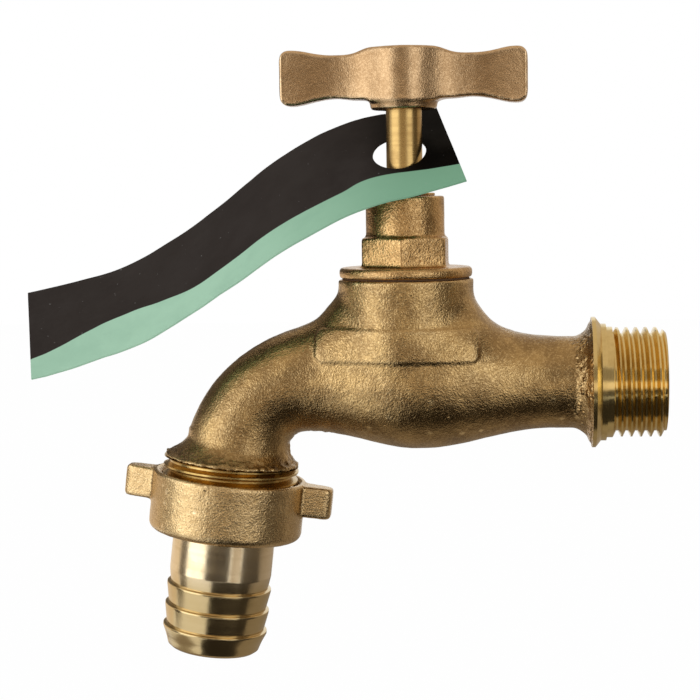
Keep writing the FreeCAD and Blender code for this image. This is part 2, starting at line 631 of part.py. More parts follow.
def handle_front():
    """Outline of the handle seen from the front, as a prism through its thickness."""
    end = HANDLE_SPAN / 2
    end_top = HANDLE_END_Z + HANDLE_END_HEIGHT
    waist_top = HANDLE_WAIST_Z + HANDLE_WAIST_HEIGHT
    lip_top = HUB_LIP_Z + HUB_LIP_HEIGHT
    r = WING_CORNER_R
    flat_end = Vector(HUB_FLAT * HUB_R, 0, HANDLE_TOP_Z)
    top_corner = Vector(end - r, 0, end_top)
    top_waist = Vector(HANDLE_WAIST_AT, 0, waist_top)
    low_waist = Vector(HANDLE_WAIST_AT, 0, HANDLE_WAIST_Z)
    low_corner = Vector(end - r, 0, HANDLE_END_Z)
    lip_edge = Vector(HUB_LIP_R, 0, lip_top)
    upper = [flat_end, between(top_waist, flat_end, HANDLE_BLEND), top_waist,
             between(top_waist, top_corner, HANDLE_RISE), top_corner]
    lower = [low_corner, between(low_waist, low_corner, HANDLE_RISE), low_waist,
             between(low_waist, lip_edge, HANDLE_BLEND), lip_edge]
    level = Vector(1, 0, 0)
    top_curve = Part.BSplineCurve()
    top_curve.interpolate(upper, InitialTangent=level, FinalTangent=level)
    low_curve = Part.BSplineCurve()
    low_curve.interpolate(lower, InitialTangent=level * -1,
                          FinalTangent=HUB_FOOT_DIRECTION)
    lean = r * (1 - math.sqrt(0.5))
    corner_top = Part.Arc(top_corner, Vector(end - lean, 0, end_top - lean),
                          Vector(end, 0, end_top - r))
    corner_low = Part.Arc(Vector(end, 0, HANDLE_END_Z + r),
                          Vector(end - lean, 0, HANDLE_END_Z + lean), low_corner)
    top_middle = Vector(0, 0, HANDLE_TOP_Z)
    low_middle = Vector(0, 0, lip_top)
    edges = [Part.makeLine(top_middle, flat_end), top_curve.toShape(), corner_top.toShape(),
             Part.makeLine(Vector(end, 0, end_top - r), Vector(end, 0, HANDLE_END_Z + r)),
             corner_low.toShape(), low_curve.toShape(),
             Part.makeLine(lip_edge, low_middle), Part.makeLine(low_middle, top_middle)]
    half = Part.Face(Part.Wire(edges)).extrude(Vector(0, 4 * HUB_R, 0))
    half.translate(Vector(0, -2 * HUB_R, 0))
    return half.fuse(half.mirror(Vector(0, 0, 0), Vector(1, 0, 0))).removeSplitter()


def handle_plan():
    """Outline of the handle seen from above, as a prism through its height."""
    end = HANDLE_SPAN / 2
    side = [Vector(0, HUB_R, 0),
            Vector(HUB_SIDE_ROUND[0] * HUB_R, HUB_SIDE_ROUND[1] * HUB_R, 0),
            Vector(HUB_R, WING_WAIST_THICKNESS / 2 + HUB_SIDE * HUB_R, 0),
            Vector(HANDLE_WAIST_AT, WING_WAIST_THICKNESS / 2, 0),
            Vector(end, WING_END_THICKNESS / 2, 0)]
    curve = Part.BSplineCurve()
    curve.interpolate(side)
    edges = [curve.toShape(), Part.makeLine(side[-1], Vector(end, 0, 0)),
             Part.makeLine(Vector(end, 0, 0), Vector(0, 0, 0)),
             Part.makeLine(Vector(0, 0, 0), side[0])]
    height = HANDLE_TOP_Z - HUB_LIP_Z
    quarter = Part.Face(Part.Wire(edges)).extrude(Vector(0, 0, height + 2))
    quarter.translate(Vector(0, 0, HUB_LIP_Z - 1))
    half = quarter.fuse(quarter.mirror(Vector(0, 0, 0), Vector(0, 1, 0)))
    return half.fuse(half.mirror(Vector(0, 0, 0), Vector(1, 0, 0))).removeSplitter()


def make_handle():
    """Cast T-shaped handle with a square socket and a recess for its screw."""
    bar = handle_front().common(handle_plan())
    lip = Part.makeCylinder(HUB_LIP_R, HUB_LIP_HEIGHT + 1, Vector(0, 0, HUB_LIP_Z))
    bar = bar.fuse(lip)
    clear = RUNNING_CLEARANCE
    socket_side = SPINDLE_SQUARE + 2 * clear
    roof = SPINDLE_TOP + clear
    socket = Part.makeBox(socket_side, socket_side, roof - SOCKET_SQUARE_Z,
                          Vector(-socket_side / 2, -socket_side / 2, SOCKET_SQUARE_Z))
    round_part = Part.makeCylinder(SPINDLE_R + clear, SOCKET_ROUND_DEPTH,
                                   Vector(0, 0, HUB_LIP_Z))
    screw_hole = Part.makeCylinder(SCREW_R + clear, HANDLE_TOP_Z - roof, Vector(0, 0, roof))
    recess = Part.makeCone(SCREW_R + clear, SCREW_HEAD_R + clear, SCREW_HEAD_HEIGHT,
                           Vector(0, 0, HANDLE_TOP_Z - SCREW_HEAD_HEIGHT))
    return placed(bar.cut(socket.fuse([round_part, screw_hole, recess])), SPINDLE)


def make_handle_screw():
    """Countersunk slotted screw in the top of the handle."""
    under_head = HANDLE_TOP_Z - SCREW_HEAD_HEIGHT
    end = under_head - SCREW_LENGTH
    screw = turned([(0, end), (SCREW_R, end), (SCREW_R, under_head),
                    (SCREW_HEAD_R, HANDLE_TOP_Z), (0, HANDLE_TOP_Z)], SPINDLE)
    slot = Part.makeBox(2 * SCREW_HEAD_R + 2, SCREW_SLOT_WIDTH, SCREW_SLOT_DEPTH,
                        Vector(-SCREW_HEAD_R - 1, -SCREW_SLOT_WIDTH / 2,
                               HANDLE_TOP_Z - SCREW_SLOT_DEPTH))
    return screw.cut(placed(slot, SPINDLE))


def make_ear():
    """One ear of the union nut, towards local +X, with rounded corners and edges."""
    root = NUT_R - EAR_SUNK
    ear = Part.makeBox(EAR_REACH - root, EAR_THICKNESS, EAR_HEIGHT,
                       Vector(root, -EAR_THICKNESS / 2, NUT_TOP + EAR_DROP))
    ear = rounded(ear, EAR_CORNER_R, lambda edge: abs(edge.tangentAt(0).z) > 0.9
                  and edge.CenterOfMass.x > NUT_R)
    return rounded(ear, EAR_EDGE_R, lambda edge: edge.CenterOfMass.x > root + EAR_SUNK / 2
                   and abs(edge.BoundBox.ZLength) < 1e-4)


def make_union_nut():
    """Ring nut with two ears; its floor holds the hose tail's collar."""
    hole_r = TAIL_NECK_R + SLIDING_GAP
    nut = turned([(0, NUT_TOP), (NUT_R, NUT_TOP), (NUT_R, NUT_BOTTOM), (0, NUT_BOTTOM)],
                 FreeCAD.Placement())
    nut = rounded(nut, NUT_BOTTOM_ROUND, circle_at(NUT_R, NUT_BOTTOM))
    nut = rounded(nut, NUT_TOP_ROUND, circle_at(NUT_R, NUT_TOP))
    ear = make_ear()
    nut = nut.fuse([ear, ear.mirror(Vector(0, 0, 0), Vector(1, 0, 0))])
    thread_end = OUTLET_FACE + NUT_THREAD_PAST
    bore = turned([(0, NUT_TOP), (NUT_BORE_R + NUT_BORE_CHAMFER, NUT_TOP),
                   (NUT_BORE_R, NUT_TOP + NUT_BORE_CHAMFER), (NUT_BORE_R, thread_end),
                   (NUT_CHAMBER_R, thread_end), (NUT_CHAMBER_R, NUT_SHOULDER),
                   (hole_r, NUT_SHOULDER), (hole_r, NUT_BOTTOM), (0, NUT_BOTTOM)],
                  FreeCAD.Placement())
    return placed(nut.cut(bore), OUTLET)


def make_tail_washer():
    """Rubber washer between the outlet's face and the hose tail's collar."""
    return ring(OUTLET_BORE_D / 2, TAIL_COLLAR_R - SLIDING_GAP, OUTLET_FACE,
                OUTLET_FACE + TAIL_WASHER_THICKNESS, OUTLET)


def make_hose_tail():
    """Turned hose tail: collar, neck, barbs with sharp steps towards the nut, tapered end."""
    bore_r = TAIL_BORE_D / 2
    top = OUTLET_FACE + TAIL_WASHER_THICKNESS
    outline = [(bore_r, top), (TAIL_COLLAR_R, top), (TAIL_COLLAR_R, NUT_SHOULDER),
               (TAIL_NECK_R, NUT_SHOULDER), (TAIL_NECK_R, FIRST_BARB - TAIL_TAPER)]
    for k in range(BARB_COUNT):
        step = FIRST_BARB + k * BARB_PITCH
        outline += [(BARB_ROOT_R, step - BARB_STEP), (BARB_R, step), (BARB_R, step + BARB_LAND)]
    land_end = FIRST_BARB + (BARB_COUNT - 1) * BARB_PITCH + BARB_LAND
    free_end = land_end + TAIL_END_LENGTH
    nose_start = free_end - TAIL_NOSE[0][1]
    outline.append((BARB_ROOT_R, land_end + TAIL_NOSE_RUN * (nose_start - land_end)))
    outline += [(r, free_end - rise) for r, rise in TAIL_NOSE]
    outline.append((bore_r, free_end))
    return turned(outline, OUTLET)


def make_hang_tag():
    """Plastic strip bent in a long S, with a hole that hangs on the spindle."""
    across = Vector(TAG_ACROSS).normalize()
    along = Vector(-1, 0, 0) - across * Vector(-1, 0, 0).dot(across)
    along.normalize()
    square = along.cross(across)
    if square.z < 0:
        square = square * -1
    middle = Vector(SPINDLE_X + TAG_HOLE_X, 0, TAG_HOLE_Z)
    start = middle - across * (TAG_WIDTH / 2)
    points = [start + along * a + square * b for a, b in TAG_ROUTE]
    curve = Part.BSplineCurve()
    curve.interpolate(points)
    lower = curve.toShape()
    sheet = lower.extrude(across * TAG_WIDTH)
    tag = sheet.extrude(square * TAG_THICKNESS)
    hole = Part.makeCylinder(TAG_HOLE_D / 2, 4 * TAG_HOLE_D,
                             middle - square * (2 * TAG_HOLE_D), square)
    return tag.cut(hole)


NODES = {
    "body": make_body,
    "bonnet": make_bonnet,
    "bonnet_gasket": make_bonnet_gasket,
    "packing_washer": make_packing_washer,
    "gland_screw": make_gland_screw,
    "spindle": make_spindle,
    "handle": make_handle,
    "handle_screw": make_handle_screw,
    "jumper": make_jumper,
    "jumper_clip": make_jumper_clip,
    "seat_washer": make_seat_washer,
    "washer_nut": make_washer_nut,
    "union_nut": make_union_nut,
    "tail_washer": make_tail_washer,
    "hose_tail": make_hose_tail,
    "hang_tag": make_hang_tag,
}


def main():
    """Build every piece and write it to its own STEP file."""
    os.makedirs("parts", exist_ok=True)
    shapes = {name: make() for name, make in NODES.items()}
    for index in range(PACKING_RING_COUNT):
        shapes["packing_ring_%d" % (index + 1)] = make_packing_ring(index)
    for name, shape in shapes.items():
        solids = shape.Solids
        print("%-16s valid %s solids %d volume %.1f" % (name, shape.isValid(), len(solids),
                                                        shape.Volume))
        shape.exportStep("parts/%s.step" % name)


main()
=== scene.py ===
"""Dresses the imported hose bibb: sand-cast and turned brass, a printed strip and a plain studio."""

import json
import logging
import math
from collections.abc import Callable, Iterator
from contextlib import contextmanager
from dataclasses import dataclass
from enum import Enum
from functools import partial

import bpy
from mathutils import Matrix, Vector


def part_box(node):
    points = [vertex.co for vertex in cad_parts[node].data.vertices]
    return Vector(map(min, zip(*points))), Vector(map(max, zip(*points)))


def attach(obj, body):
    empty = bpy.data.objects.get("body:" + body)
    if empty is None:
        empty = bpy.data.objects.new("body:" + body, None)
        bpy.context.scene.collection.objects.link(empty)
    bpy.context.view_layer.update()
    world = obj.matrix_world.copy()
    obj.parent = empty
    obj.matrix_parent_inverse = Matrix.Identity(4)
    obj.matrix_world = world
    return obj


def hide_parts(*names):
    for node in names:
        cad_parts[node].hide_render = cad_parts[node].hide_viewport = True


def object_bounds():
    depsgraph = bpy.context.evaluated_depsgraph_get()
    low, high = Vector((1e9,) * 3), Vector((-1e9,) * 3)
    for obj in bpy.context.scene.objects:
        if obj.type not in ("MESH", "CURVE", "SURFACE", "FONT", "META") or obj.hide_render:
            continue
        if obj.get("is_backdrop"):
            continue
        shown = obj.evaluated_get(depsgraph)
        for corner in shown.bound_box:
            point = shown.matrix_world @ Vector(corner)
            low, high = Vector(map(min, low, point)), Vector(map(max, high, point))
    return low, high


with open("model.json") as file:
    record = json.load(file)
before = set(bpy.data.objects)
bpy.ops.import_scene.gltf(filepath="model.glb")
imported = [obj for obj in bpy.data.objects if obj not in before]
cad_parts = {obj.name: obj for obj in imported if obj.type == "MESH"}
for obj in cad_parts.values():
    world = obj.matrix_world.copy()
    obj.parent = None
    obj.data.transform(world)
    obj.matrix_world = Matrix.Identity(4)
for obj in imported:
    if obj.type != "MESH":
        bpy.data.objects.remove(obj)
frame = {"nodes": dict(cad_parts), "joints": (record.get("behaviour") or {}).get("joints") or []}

MM = 0.001
MERGE_GAP = 0.001 * MM
QUARTER_TURN = math.radians(90)
WHITE = (1.0, 1.0, 1.0, 1.0)
PICTURE_WIDTH = 700
Pair = tuple[float, float]
Triple = tuple[float, float, float]
Colour = tuple[float, float, float, float]
Window = tuple[float, float, float, float]
Row = tuple[str | float, ...]
Piece = bpy.types.Object
Socket = bpy.types.NodeSocket
Sockets = bpy.types.bpy_prop_collection
Material = bpy.types.Material
log = logging.getLogger("hose_bibb")


class Slot(Enum):
    """The record's material slots, which no piece made here is given."""

    CAST = "cast_brass"
    HANDLE = "handle_brass"
    NUT = "nut_brass"
    TURNED = "turned_brass"
    PRINTED = "printed_plastic"


def placement(origin: Vector, *axes: Vector) -> Matrix:
    """Builds a placement from its origin and its three axes."""
    return Matrix.Translation(origin) @ Matrix(axes).transposed().to_4x4()


@dataclass(frozen=True)
class Axis:
    """The axis of one of the frame's joints."""

    start: Vector
    way: Vector

    @classmethod
    def of(cls, name: str) -> "Axis":
        """Finds the axis of the joint with this name."""
        found = next(entry for entry in frame["joints"] if entry["name"] == name)
        return cls(Vector(found["pos_m"]), Vector(found["axis"]))

    def measure(self, point: Vector) -> Pair:
        """Measures where a point lies.

        Args:
            point: The point.

        Returns:
            How far it lies along the axis, and how far from it.
        """
        arm = point - self.start
        reach = arm.dot(self.way)
        return reach, (arm - reach * self.way).length

    def place(self) -> Matrix:
        """Works out a placement from the axis.

        Returns:
            The placement, whose Z is the axis and whose X stays in the XZ plane.
        """
        up = self.way.normalized()
        side = Vector((0, 1, 0))
        return placement(self.start, side.cross(up).normalized(), side, up)


SPINDLE = Axis.of("spindle_turn")
OUTLET = Axis.of("union_nut_turn")


def from_spindle(point: Vector) -> float:
    """Returns how far a point lies from the spindle's upright axis."""
    return math.hypot(point.x - SPINDLE.start.x, point.y)


def unit(value: float) -> float:
    """Keeps a value between 0 and 1."""
    return min(1.0, max(0.0, value))


def window(value: float, start: float, rise: float, end: float, fall: float) -> float:
    """Gives a share that rises from 0 to 1 after the start, and is back at 0 at the end."""
    return unit(min((value - start) / rise, (end - value) / fall))


def add_object(name: str, data: bpy.types.ID) -> Piece:
    """Puts a new object into the scene.

    Args:
        name: The object's name.
        data: Its mesh, curve, camera or lamp.

    Returns:
        The object.
    """
    made = bpy.data.objects.new(name, data)
    bpy.context.scene.collection.objects.link(made)
    return made


def take(piece: Piece) -> None:
    """Leaves only one piece selected, and makes it the active one.

    Args:
        piece: The piece.
    """
    bpy.ops.object.select_all(action="DESELECT")
    piece.select_set(True)
    bpy.context.view_layer.objects.active = piece


@contextmanager
def whole_mesh(piece: Piece) -> Iterator[None]:
    """Opens a piece in edit mode with its whole mesh selected, and closes it afterwards.

    Args:
        piece: The piece.

    Yields:
        Nothing, while the piece is open.
    """
    take(piece)
    bpy.ops.object.mode_set(mode="EDIT")
    bpy.ops.mesh.select_all(action="SELECT")
    yield
    bpy.ops.object.mode_set(mode="OBJECT")


def apply_modifier(piece: Piece, kind: str, **settings: object) -> None:
    """Adds one modifier to a piece and applies it.

    Args:
        piece: The piece to change.
        kind: Blender's name of the modifier's type.
        **settings: The modifier's own settings.
    """
    modifier = piece.modifiers.new(kind.lower(), kind)
    for key, value in settings.items():
        setattr(modifier, key, value)
    take(piece)
    bpy.ops.object.modifier_apply(modifier=modifier.name)


def merged_copy(node: str, name: str) -> Piece:
    """Copies a CAD node as a piece of its own, with its loose triangles joined.

    Args:
        node: The CAD node's name.
        name: The new piece's name.

    Returns:
        The new piece, at the origin, with no parent.
    """
    piece = add_object(name, frame["nodes"][node].data.copy())
    piece.data.materials.clear()
    take(piece)
    bpy.ops.mesh.customdata_custom_splitnormals_clear()
    with whole_mesh(piece):
        bpy.ops.mesh.remove_doubles(threshold=MERGE_GAP)
    return piece


def cut_off(piece: Piece, point: Vector, direction: Vector, beyond: bool) -> None:
    """Cuts a piece at a plane, takes away what lies beyond or before it, and closes the cut."""
    with whole_mesh(piece):
        bpy.ops.mesh.bisect(plane_co=point, plane_no=direction, use_fill=True,
                            clear_outer=beyond, clear_inner=not beyond)


def shade_by_angle(piece: Piece, degrees: float) -> None:
    """Shades a piece smooth, except across edges sharper than an angle."""
    take(piece)
    bpy.ops.object.shade_smooth_by_angle(angle=math.radians(degrees))


def relax(piece: Piece, rounds: int, **settings: object) -> None:
    """Evens out a piece's surface, in as many rounds as given."""
    apply_modifier(piece, "SMOOTH", factor=0.5, iterations=rounds, **settings)


def push(piece: Piece, height: float, middle: float = 0.0, **settings: object) -> None:
    """Moves a surface by a height, or by a pattern of that height around its middle value."""
    apply_modifier(piece, "DISPLACE", strength=height, mid_level=middle, **settings)


def soften(piece: Piece, grid: float, rounds: int) -> None:
    """Remeshes a cast piece on a fine grid and rounds all its edges.

    Args:
        piece: The piece to change.
        grid: The grid's pitch, in metres.
        rounds: How many times the surface is relaxed.
    """
    apply_modifier(piece, "REMESH", mode="VOXEL", voxel_size=grid, adaptivity=0.0)
    relax(piece, rounds)
    take(piece)
    bpy.ops.object.shade_smooth()


def weigh(piece: Piece, name: str, share: Callable[[Vector], float]) -> str:
    """Makes a vertex group from a rule.

    Args:
        piece: The piece that gets the group.
        name: The group's name.
        share: The rule, from a point to a weight from 0 to 1.

    Returns:
        The group's name.
    """
    group = piece.vertex_groups.new(name=name)
    for vertex in piece.data.vertices:
        weight = share(vertex.co)
        if weight > 0:
            group.add([vertex.index], weight, "REPLACE")
    return name


def clouds(name: str, pitch: float, depth: int = 2) -> bpy.types.Texture:
    """Makes an uneven pattern.

    Args:
        name: The pattern's name.
        pitch: Rough width of a swell, in metres.
        depth: How many finer layers it has.

    Returns:
        The pattern.
    """
    pattern = bpy.data.textures.new(name, "CLOUDS")
    pattern.noise_scale = pitch
    pattern.noise_depth = depth
    return pattern


def ripple(piece: Piece, name: str, pitch: float, height: float) -> None:
    """Gives a cast piece the low, uneven swells of a sand mould."""
    push(piece, height, 0.5, texture=clouds(name, pitch, depth=3))


def turn_on_lathe(name: str, outline: list[Pair], sides: int) -> Piece:
    """Makes a hollow turned piece about Z from its outline.

    Args:
        name: The piece's name.
        outline: Points of radius and height in millimetres, once round the wall.
        sides: Number of sides of the round.

    Returns:
        The piece, closed, with its normals outwards.
    """
    radius, height = outline[0]
    bpy.ops.mesh.primitive_circle_add(vertices=sides, radius=radius * MM,
                                      location=(0, 0, height * MM), fill_type="NOTHING")
    piece = bpy.context.object
    piece.name = name
    bpy.ops.object.transform_apply(location=True)
    with whole_mesh(piece):
        bpy.ops.mesh.select_mode(type="EDGE")
        for next_radius, next_height in outline[1:]:
            step = (next_height - height) * MM
            bpy.ops.mesh.extrude_edges_move(TRANSFORM_OT_translate={"value": (0, 0, step)})
            share = next_radius / radius
            bpy.ops.transform.resize(value=(share, share, 1), center_override=(0, 0, next_height * MM))
            radius, height = next_radius, next_height
        bpy.ops.mesh.select_all(action="DESELECT")
        bpy.ops.mesh.select_non_manifold()
        bpy.ops.mesh.bridge_edge_loops()
        bpy.ops.mesh.select_all(action="SELECT")
        bpy.ops.mesh.normals_make_consistent(inside=False)
    return piece


def put_in_place(piece: Piece, place: Matrix) -> None:
    """Moves a piece to its place and writes that place into its mesh.

    Args:
        piece: The piece.
        place: Its place.
    """
    piece.matrix_world = place
    take(piece)
    bpy.ops.object.transform_apply(location=True, rotation=True, scale=True)


def hand_over(piece: Piece, body: str, material: Material, replaced: str) -> None:
    """Dresses a finished piece and ties it to the frame.

    Args:
        piece: The finished piece.
        body: The CAD body that it moves with.
        material: The piece's finish.
        replaced: The CAD node that it stands for.
    """
    piece.data.materials.clear()
    piece.data.materials.append(material)
    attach(piece, body)
    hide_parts(replaced)
    log.info("%s: %d faces on %s", piece.name, len(piece.data.polygons), body)


@dataclass(frozen=True)
class Patches:
    """Uneven patches: a noise that turns from one share to another between two values."""

    scale: float
    detail: float
    rough: float
    edges: Pair
    shares: Pair = (0.0, 1.0)


@dataclass(frozen=True)
class Graph:
    """A node tree that is filled by short calls."""

    tree: bpy.types.NodeTree

    def feed(self, node: bpy.types.Node, values: dict) -> None:
        """Links sockets into a node's inputs, or sets the inputs to constants.

        Args:
            node: The node.
            values: Input names or numbers, with what feeds each.
        """
        for key, value in values.items():
            if isinstance(value, Socket):
                self.tree.links.new(value, node.inputs[key])
            else:
                node.inputs[key].default_value = value

    def add(self, kind: str, values: dict | None = None, **settings: object) -> bpy.types.Node:
        """Adds a node.

        Args:
            kind: The node's type.
            values: Input names or numbers, with what feeds each.
            **settings: The node's own settings.

        Returns:
            The new node.
        """
        node = self.tree.nodes.new(kind)
        for key, value in settings.items():
            setattr(node, key, value)
        self.feed(node, values or {})
        return node

    def work_out(self, operation: str, first: object, second: object, clamp: bool = False) -> Socket:
        """Adds a Math node and returns its result."""
        values = {0: first, 1: second}
        return self.add("ShaderNodeMath", values, operation=operation, use_clamp=clamp).outputs[0]

    def times(self, first: object, second: object, clamp: bool = False) -> Socket:
        """Multiplies two values."""
        return self.work_out("MULTIPLY", first, second, clamp)

    def plus(self, first: object, second: object, clamp: bool = False) -> Socket:
        """Adds two values."""
        return self.work_out("ADD", first, second, clamp)

    def minus(self, first: object, second: object) -> Socket:
        """Takes the second value from the first."""
        return self.work_out("SUBTRACT", first, second)

    def stretch(self, value: object, low: float, high: float, to_low: float = 0.0,
                to_high: float = 1.0) -> Socket:
        """Maps a range of values smoothly onto another one."""
        values = {"Value": value, "From Min": low, "From Max": high, "To Min": to_low,
                  "To Max": to_high}
        return self.add("ShaderNodeMapRange", values, interpolation_type="SMOOTHSTEP").outputs[0]

    def blend(self, share: object, first: object, second: object) -> Socket:
        """Mixes two colours and returns the result."""
        values = {0: share, 6: first, 7: second}
        return self.add("ShaderNodeMix", values, data_type="RGBA").outputs[2]

    def coords(self) -> Socket:
        """Returns the piece's own coordinates."""
        return self.add("ShaderNodeTexCoord").outputs["Object"]

    def along(self, coords: Socket, axis: Triple) -> Socket:
        """Measures coordinates along an axis."""
        values = {0: coords, 1: axis}
        return self.add("ShaderNodeVectorMath", values, operation="DOT_PRODUCT").outputs["Value"]

    def noise(self, vector: object, scale: object, detail: float, rough: float) -> Socket:
        """Adds a solid noise and returns its value."""
        values = {"Vector": vector, "Scale": scale, "Detail": detail, "Roughness": rough}
        return self.add("ShaderNodeTexNoise", values).outputs["Fac"]

    def patches(self, vector: object, pattern: Patches) -> Socket:
        """Adds uneven patches and returns their share at a point."""
        return self.stretch(self.noise(vector, pattern.scale, pattern.detail, pattern.rough),
                            *pattern.edges, *pattern.shares)

    def rings(self, place: Socket, detail: float) -> Socket:
        """Adds a noise that changes along one way only, and returns its value."""
        values = {"W": place, "Scale": 1.0, "Detail": detail}
        return self.add("ShaderNodeTexNoise", values, noise_dimensions="1D").outputs["Fac"]

    def cells(self, vector: object, scale: object) -> Sockets:
        """Adds a cell pattern and returns its outputs."""
        return self.add("ShaderNodeTexVoronoi", {"Vector": vector, "Scale": scale}).outputs

    def red(self, colour: Socket) -> Socket:
        """Takes the red part of a colour."""
        return self.add("ShaderNodeSeparateColor", {"Color": colour}).outputs["Red"]

    def effect(self, tree: bpy.types.NodeTree, values: dict) -> Sockets:
        """Adds a shared node group and returns its outputs."""
        return self.add("ShaderNodeGroup", values, node_tree=tree).outputs

    def bump(self, height: Socket, depth: float, strength: float) -> Socket:
        """Turns a height into a normal."""
        values = {"Strength": strength, "Distance": depth, "Height": height}
        return self.add("ShaderNodeBump", values).outputs["Normal"]

    def show(self, surface: Socket) -> None:
        """Makes a shader the material's surface."""
        self.feed(self.tree.nodes["Material Output"], {"Surface": surface})


def new_group(name: str, inputs: list[str],
              outputs: list[str]) -> tuple[Graph, Sockets, bpy.types.Node]:
    """Starts a shader node group.

    Args:
        name: The group's name.
        inputs: Names of its inputs. The one called Vector is a vector, the others values.
        outputs: Names of its outputs, which are plain values.

    Returns:
        The group's graph, its inputs and its output node.
    """
    tree = bpy.data.node_groups.new(name, "ShaderNodeTree")
    for label in inputs:
        kind = "NodeSocketVector" if label == "Vector" else "NodeSocketFloat"
        tree.interface.new_socket(label, in_out="INPUT", socket_type=kind)
    for label in outputs:
        tree.interface.new_socket(label, in_out="OUTPUT", socket_type="NodeSocketFloat")
    graph = Graph(tree)
    return graph, graph.add("NodeGroupInput").outputs, graph.add("NodeGroupOutput")


class Effects:
    """The effects that more than one finish uses, each a node group built once."""

    # Scales of the patterns, as shares of the grain's or the rings' own
    COARSE_SCALE = 0.36
    STAIN_SCALE = 0.055
    GRIT_SCALE = 1.25
    HOLE_SCALE = 0.085
    STREAK_SCALE = 0.12
    # What the patterns add to the grain's height and to its specks
    PIT_HEIGHT = 0.16
    FINE_HEIGHT = 0.9
    COARSE_HEIGHT = 0.6
    GRIT_SPECKS = 0.6
    FINE_SPECKS = 1.2
    # Values between which a pattern turns from one share to the other
    PIT_EDGES = (0.0, 0.55)
    SPECK_EDGES = (0.45, 1.35)
    STAIN_EDGES = (0.36, 0.66)
    STREAK_EDGES = (0.35, 0.65)
    HOLE_EDGES = (0.03, 0.075)
    # Share of the cells that have no pinhole
    WHOLE_CELLS = 0.6
    # The pointiness of a flat surface, and where a worn edge is interrupted
    FLAT = 0.5
    BREAKS = Patches(500.0, 3.0, 0.6, (0.3, 0.62), (0.25, 1.0))

    def __init__(self) -> None:
        """Builds the groups."""
        self.grain = self.make_grain()
        self.wear = self.make_wear()
        self.turning = self.make_turning()

    def make_grain(self) -> bpy.types.NodeTree:
        """Makes the grain of a sand mould: its height, bright specks, stains and pinholes.

        Returns:
            The node group.
        """
        graph, inlet, outlet = new_group("sand_grain", ["Vector", "Grains"],
                                         ["Height", "Specks", "Stains", "Holes"])
        vector, grains = inlet["Vector"], inlet["Grains"]
        coarse_scale = graph.times(grains, self.COARSE_SCALE)
        stain_scale = graph.times(grains, self.STAIN_SCALE)
        fine = graph.noise(vector, grains, detail=2.0, rough=0.5)
        coarse = graph.noise(vector, coarse_scale, detail=2.0, rough=0.5)
        stains = graph.noise(vector, stain_scale, detail=4.0, rough=0.6)
        pits = graph.stretch(graph.cells(vector, grains)["Distance"], *self.PIT_EDGES)
        height = graph.plus(graph.times(pits, self.PIT_HEIGHT), graph.times(fine, self.FINE_HEIGHT))
        grit = graph.cells(vector, graph.times(grains, self.GRIT_SCALE))["Color"]
        specks = graph.plus(graph.times(graph.red(grit), self.GRIT_SPECKS),
                            graph.times(fine, self.FINE_SPECKS))
        spots = graph.cells(vector, graph.times(grains, self.HOLE_SCALE))
        chosen = graph.work_out("GREATER_THAN", graph.red(spots["Color"]), self.WHOLE_CELLS)
        holes = graph.stretch(spots["Distance"], *self.HOLE_EDGES, 1.0, 0.0)
        graph.feed(outlet, {
            "Height": graph.plus(height, graph.times(coarse, self.COARSE_HEIGHT)),
            "Specks": graph.stretch(specks, *self.SPECK_EDGES),
            "Stains": graph.stretch(stains, *self.STAIN_EDGES),
            "Holes": graph.times(holes, chosen)})
        return graph.tree

    def make_wear(self) -> bpy.types.NodeTree:
        """Makes a mask of the edges that handling has rubbed bright.

        Returns:
            The node group.
        """
        graph, inlet, outlet = new_group("edge_wear", ["Vector", "Reach"], ["Mask"])
        bend = graph.add("ShaderNodeNewGeometry").outputs["Pointiness"]
        worn = graph.times(graph.minus(bend, self.FLAT), inlet["Reach"], True)
        uneven = graph.patches(inlet["Vector"], self.BREAKS)
        graph.feed(outlet, {"Mask": graph.times(worn, uneven, True)})
        return graph.tree

    def make_turning(self) -> bpy.types.NodeTree:
        """Makes the fine rings that a lathe tool leaves along an axis.

        Returns:
            The node group.
        """
        graph, inlet, outlet = new_group("turning_rings", ["Along", "Rings"], ["Height", "Streaks"])
        place = graph.times(inlet["Along"], inlet["Rings"])
        streaks = graph.rings(graph.times(place, self.STREAK_SCALE), detail=3.0)
        graph.feed(outlet, {"Height": graph.rings(place, detail=2.0),
                            "Streaks": graph.stretch(streaks, *self.STREAK_EDGES)})
        return graph.tree


def new_material(name: str) -> tuple[Material, Graph, bpy.types.Node]:
    """Starts a material.

    Args:
        name: The material's name.

    Returns:
        The material, its graph and its Principled shader.
    """
    material = bpy.data.materials.new(name)
    material.use_nodes = True
    shader = material.node_tree.nodes["Principled BSDF"]
    return material, Graph(material.node_tree), shader


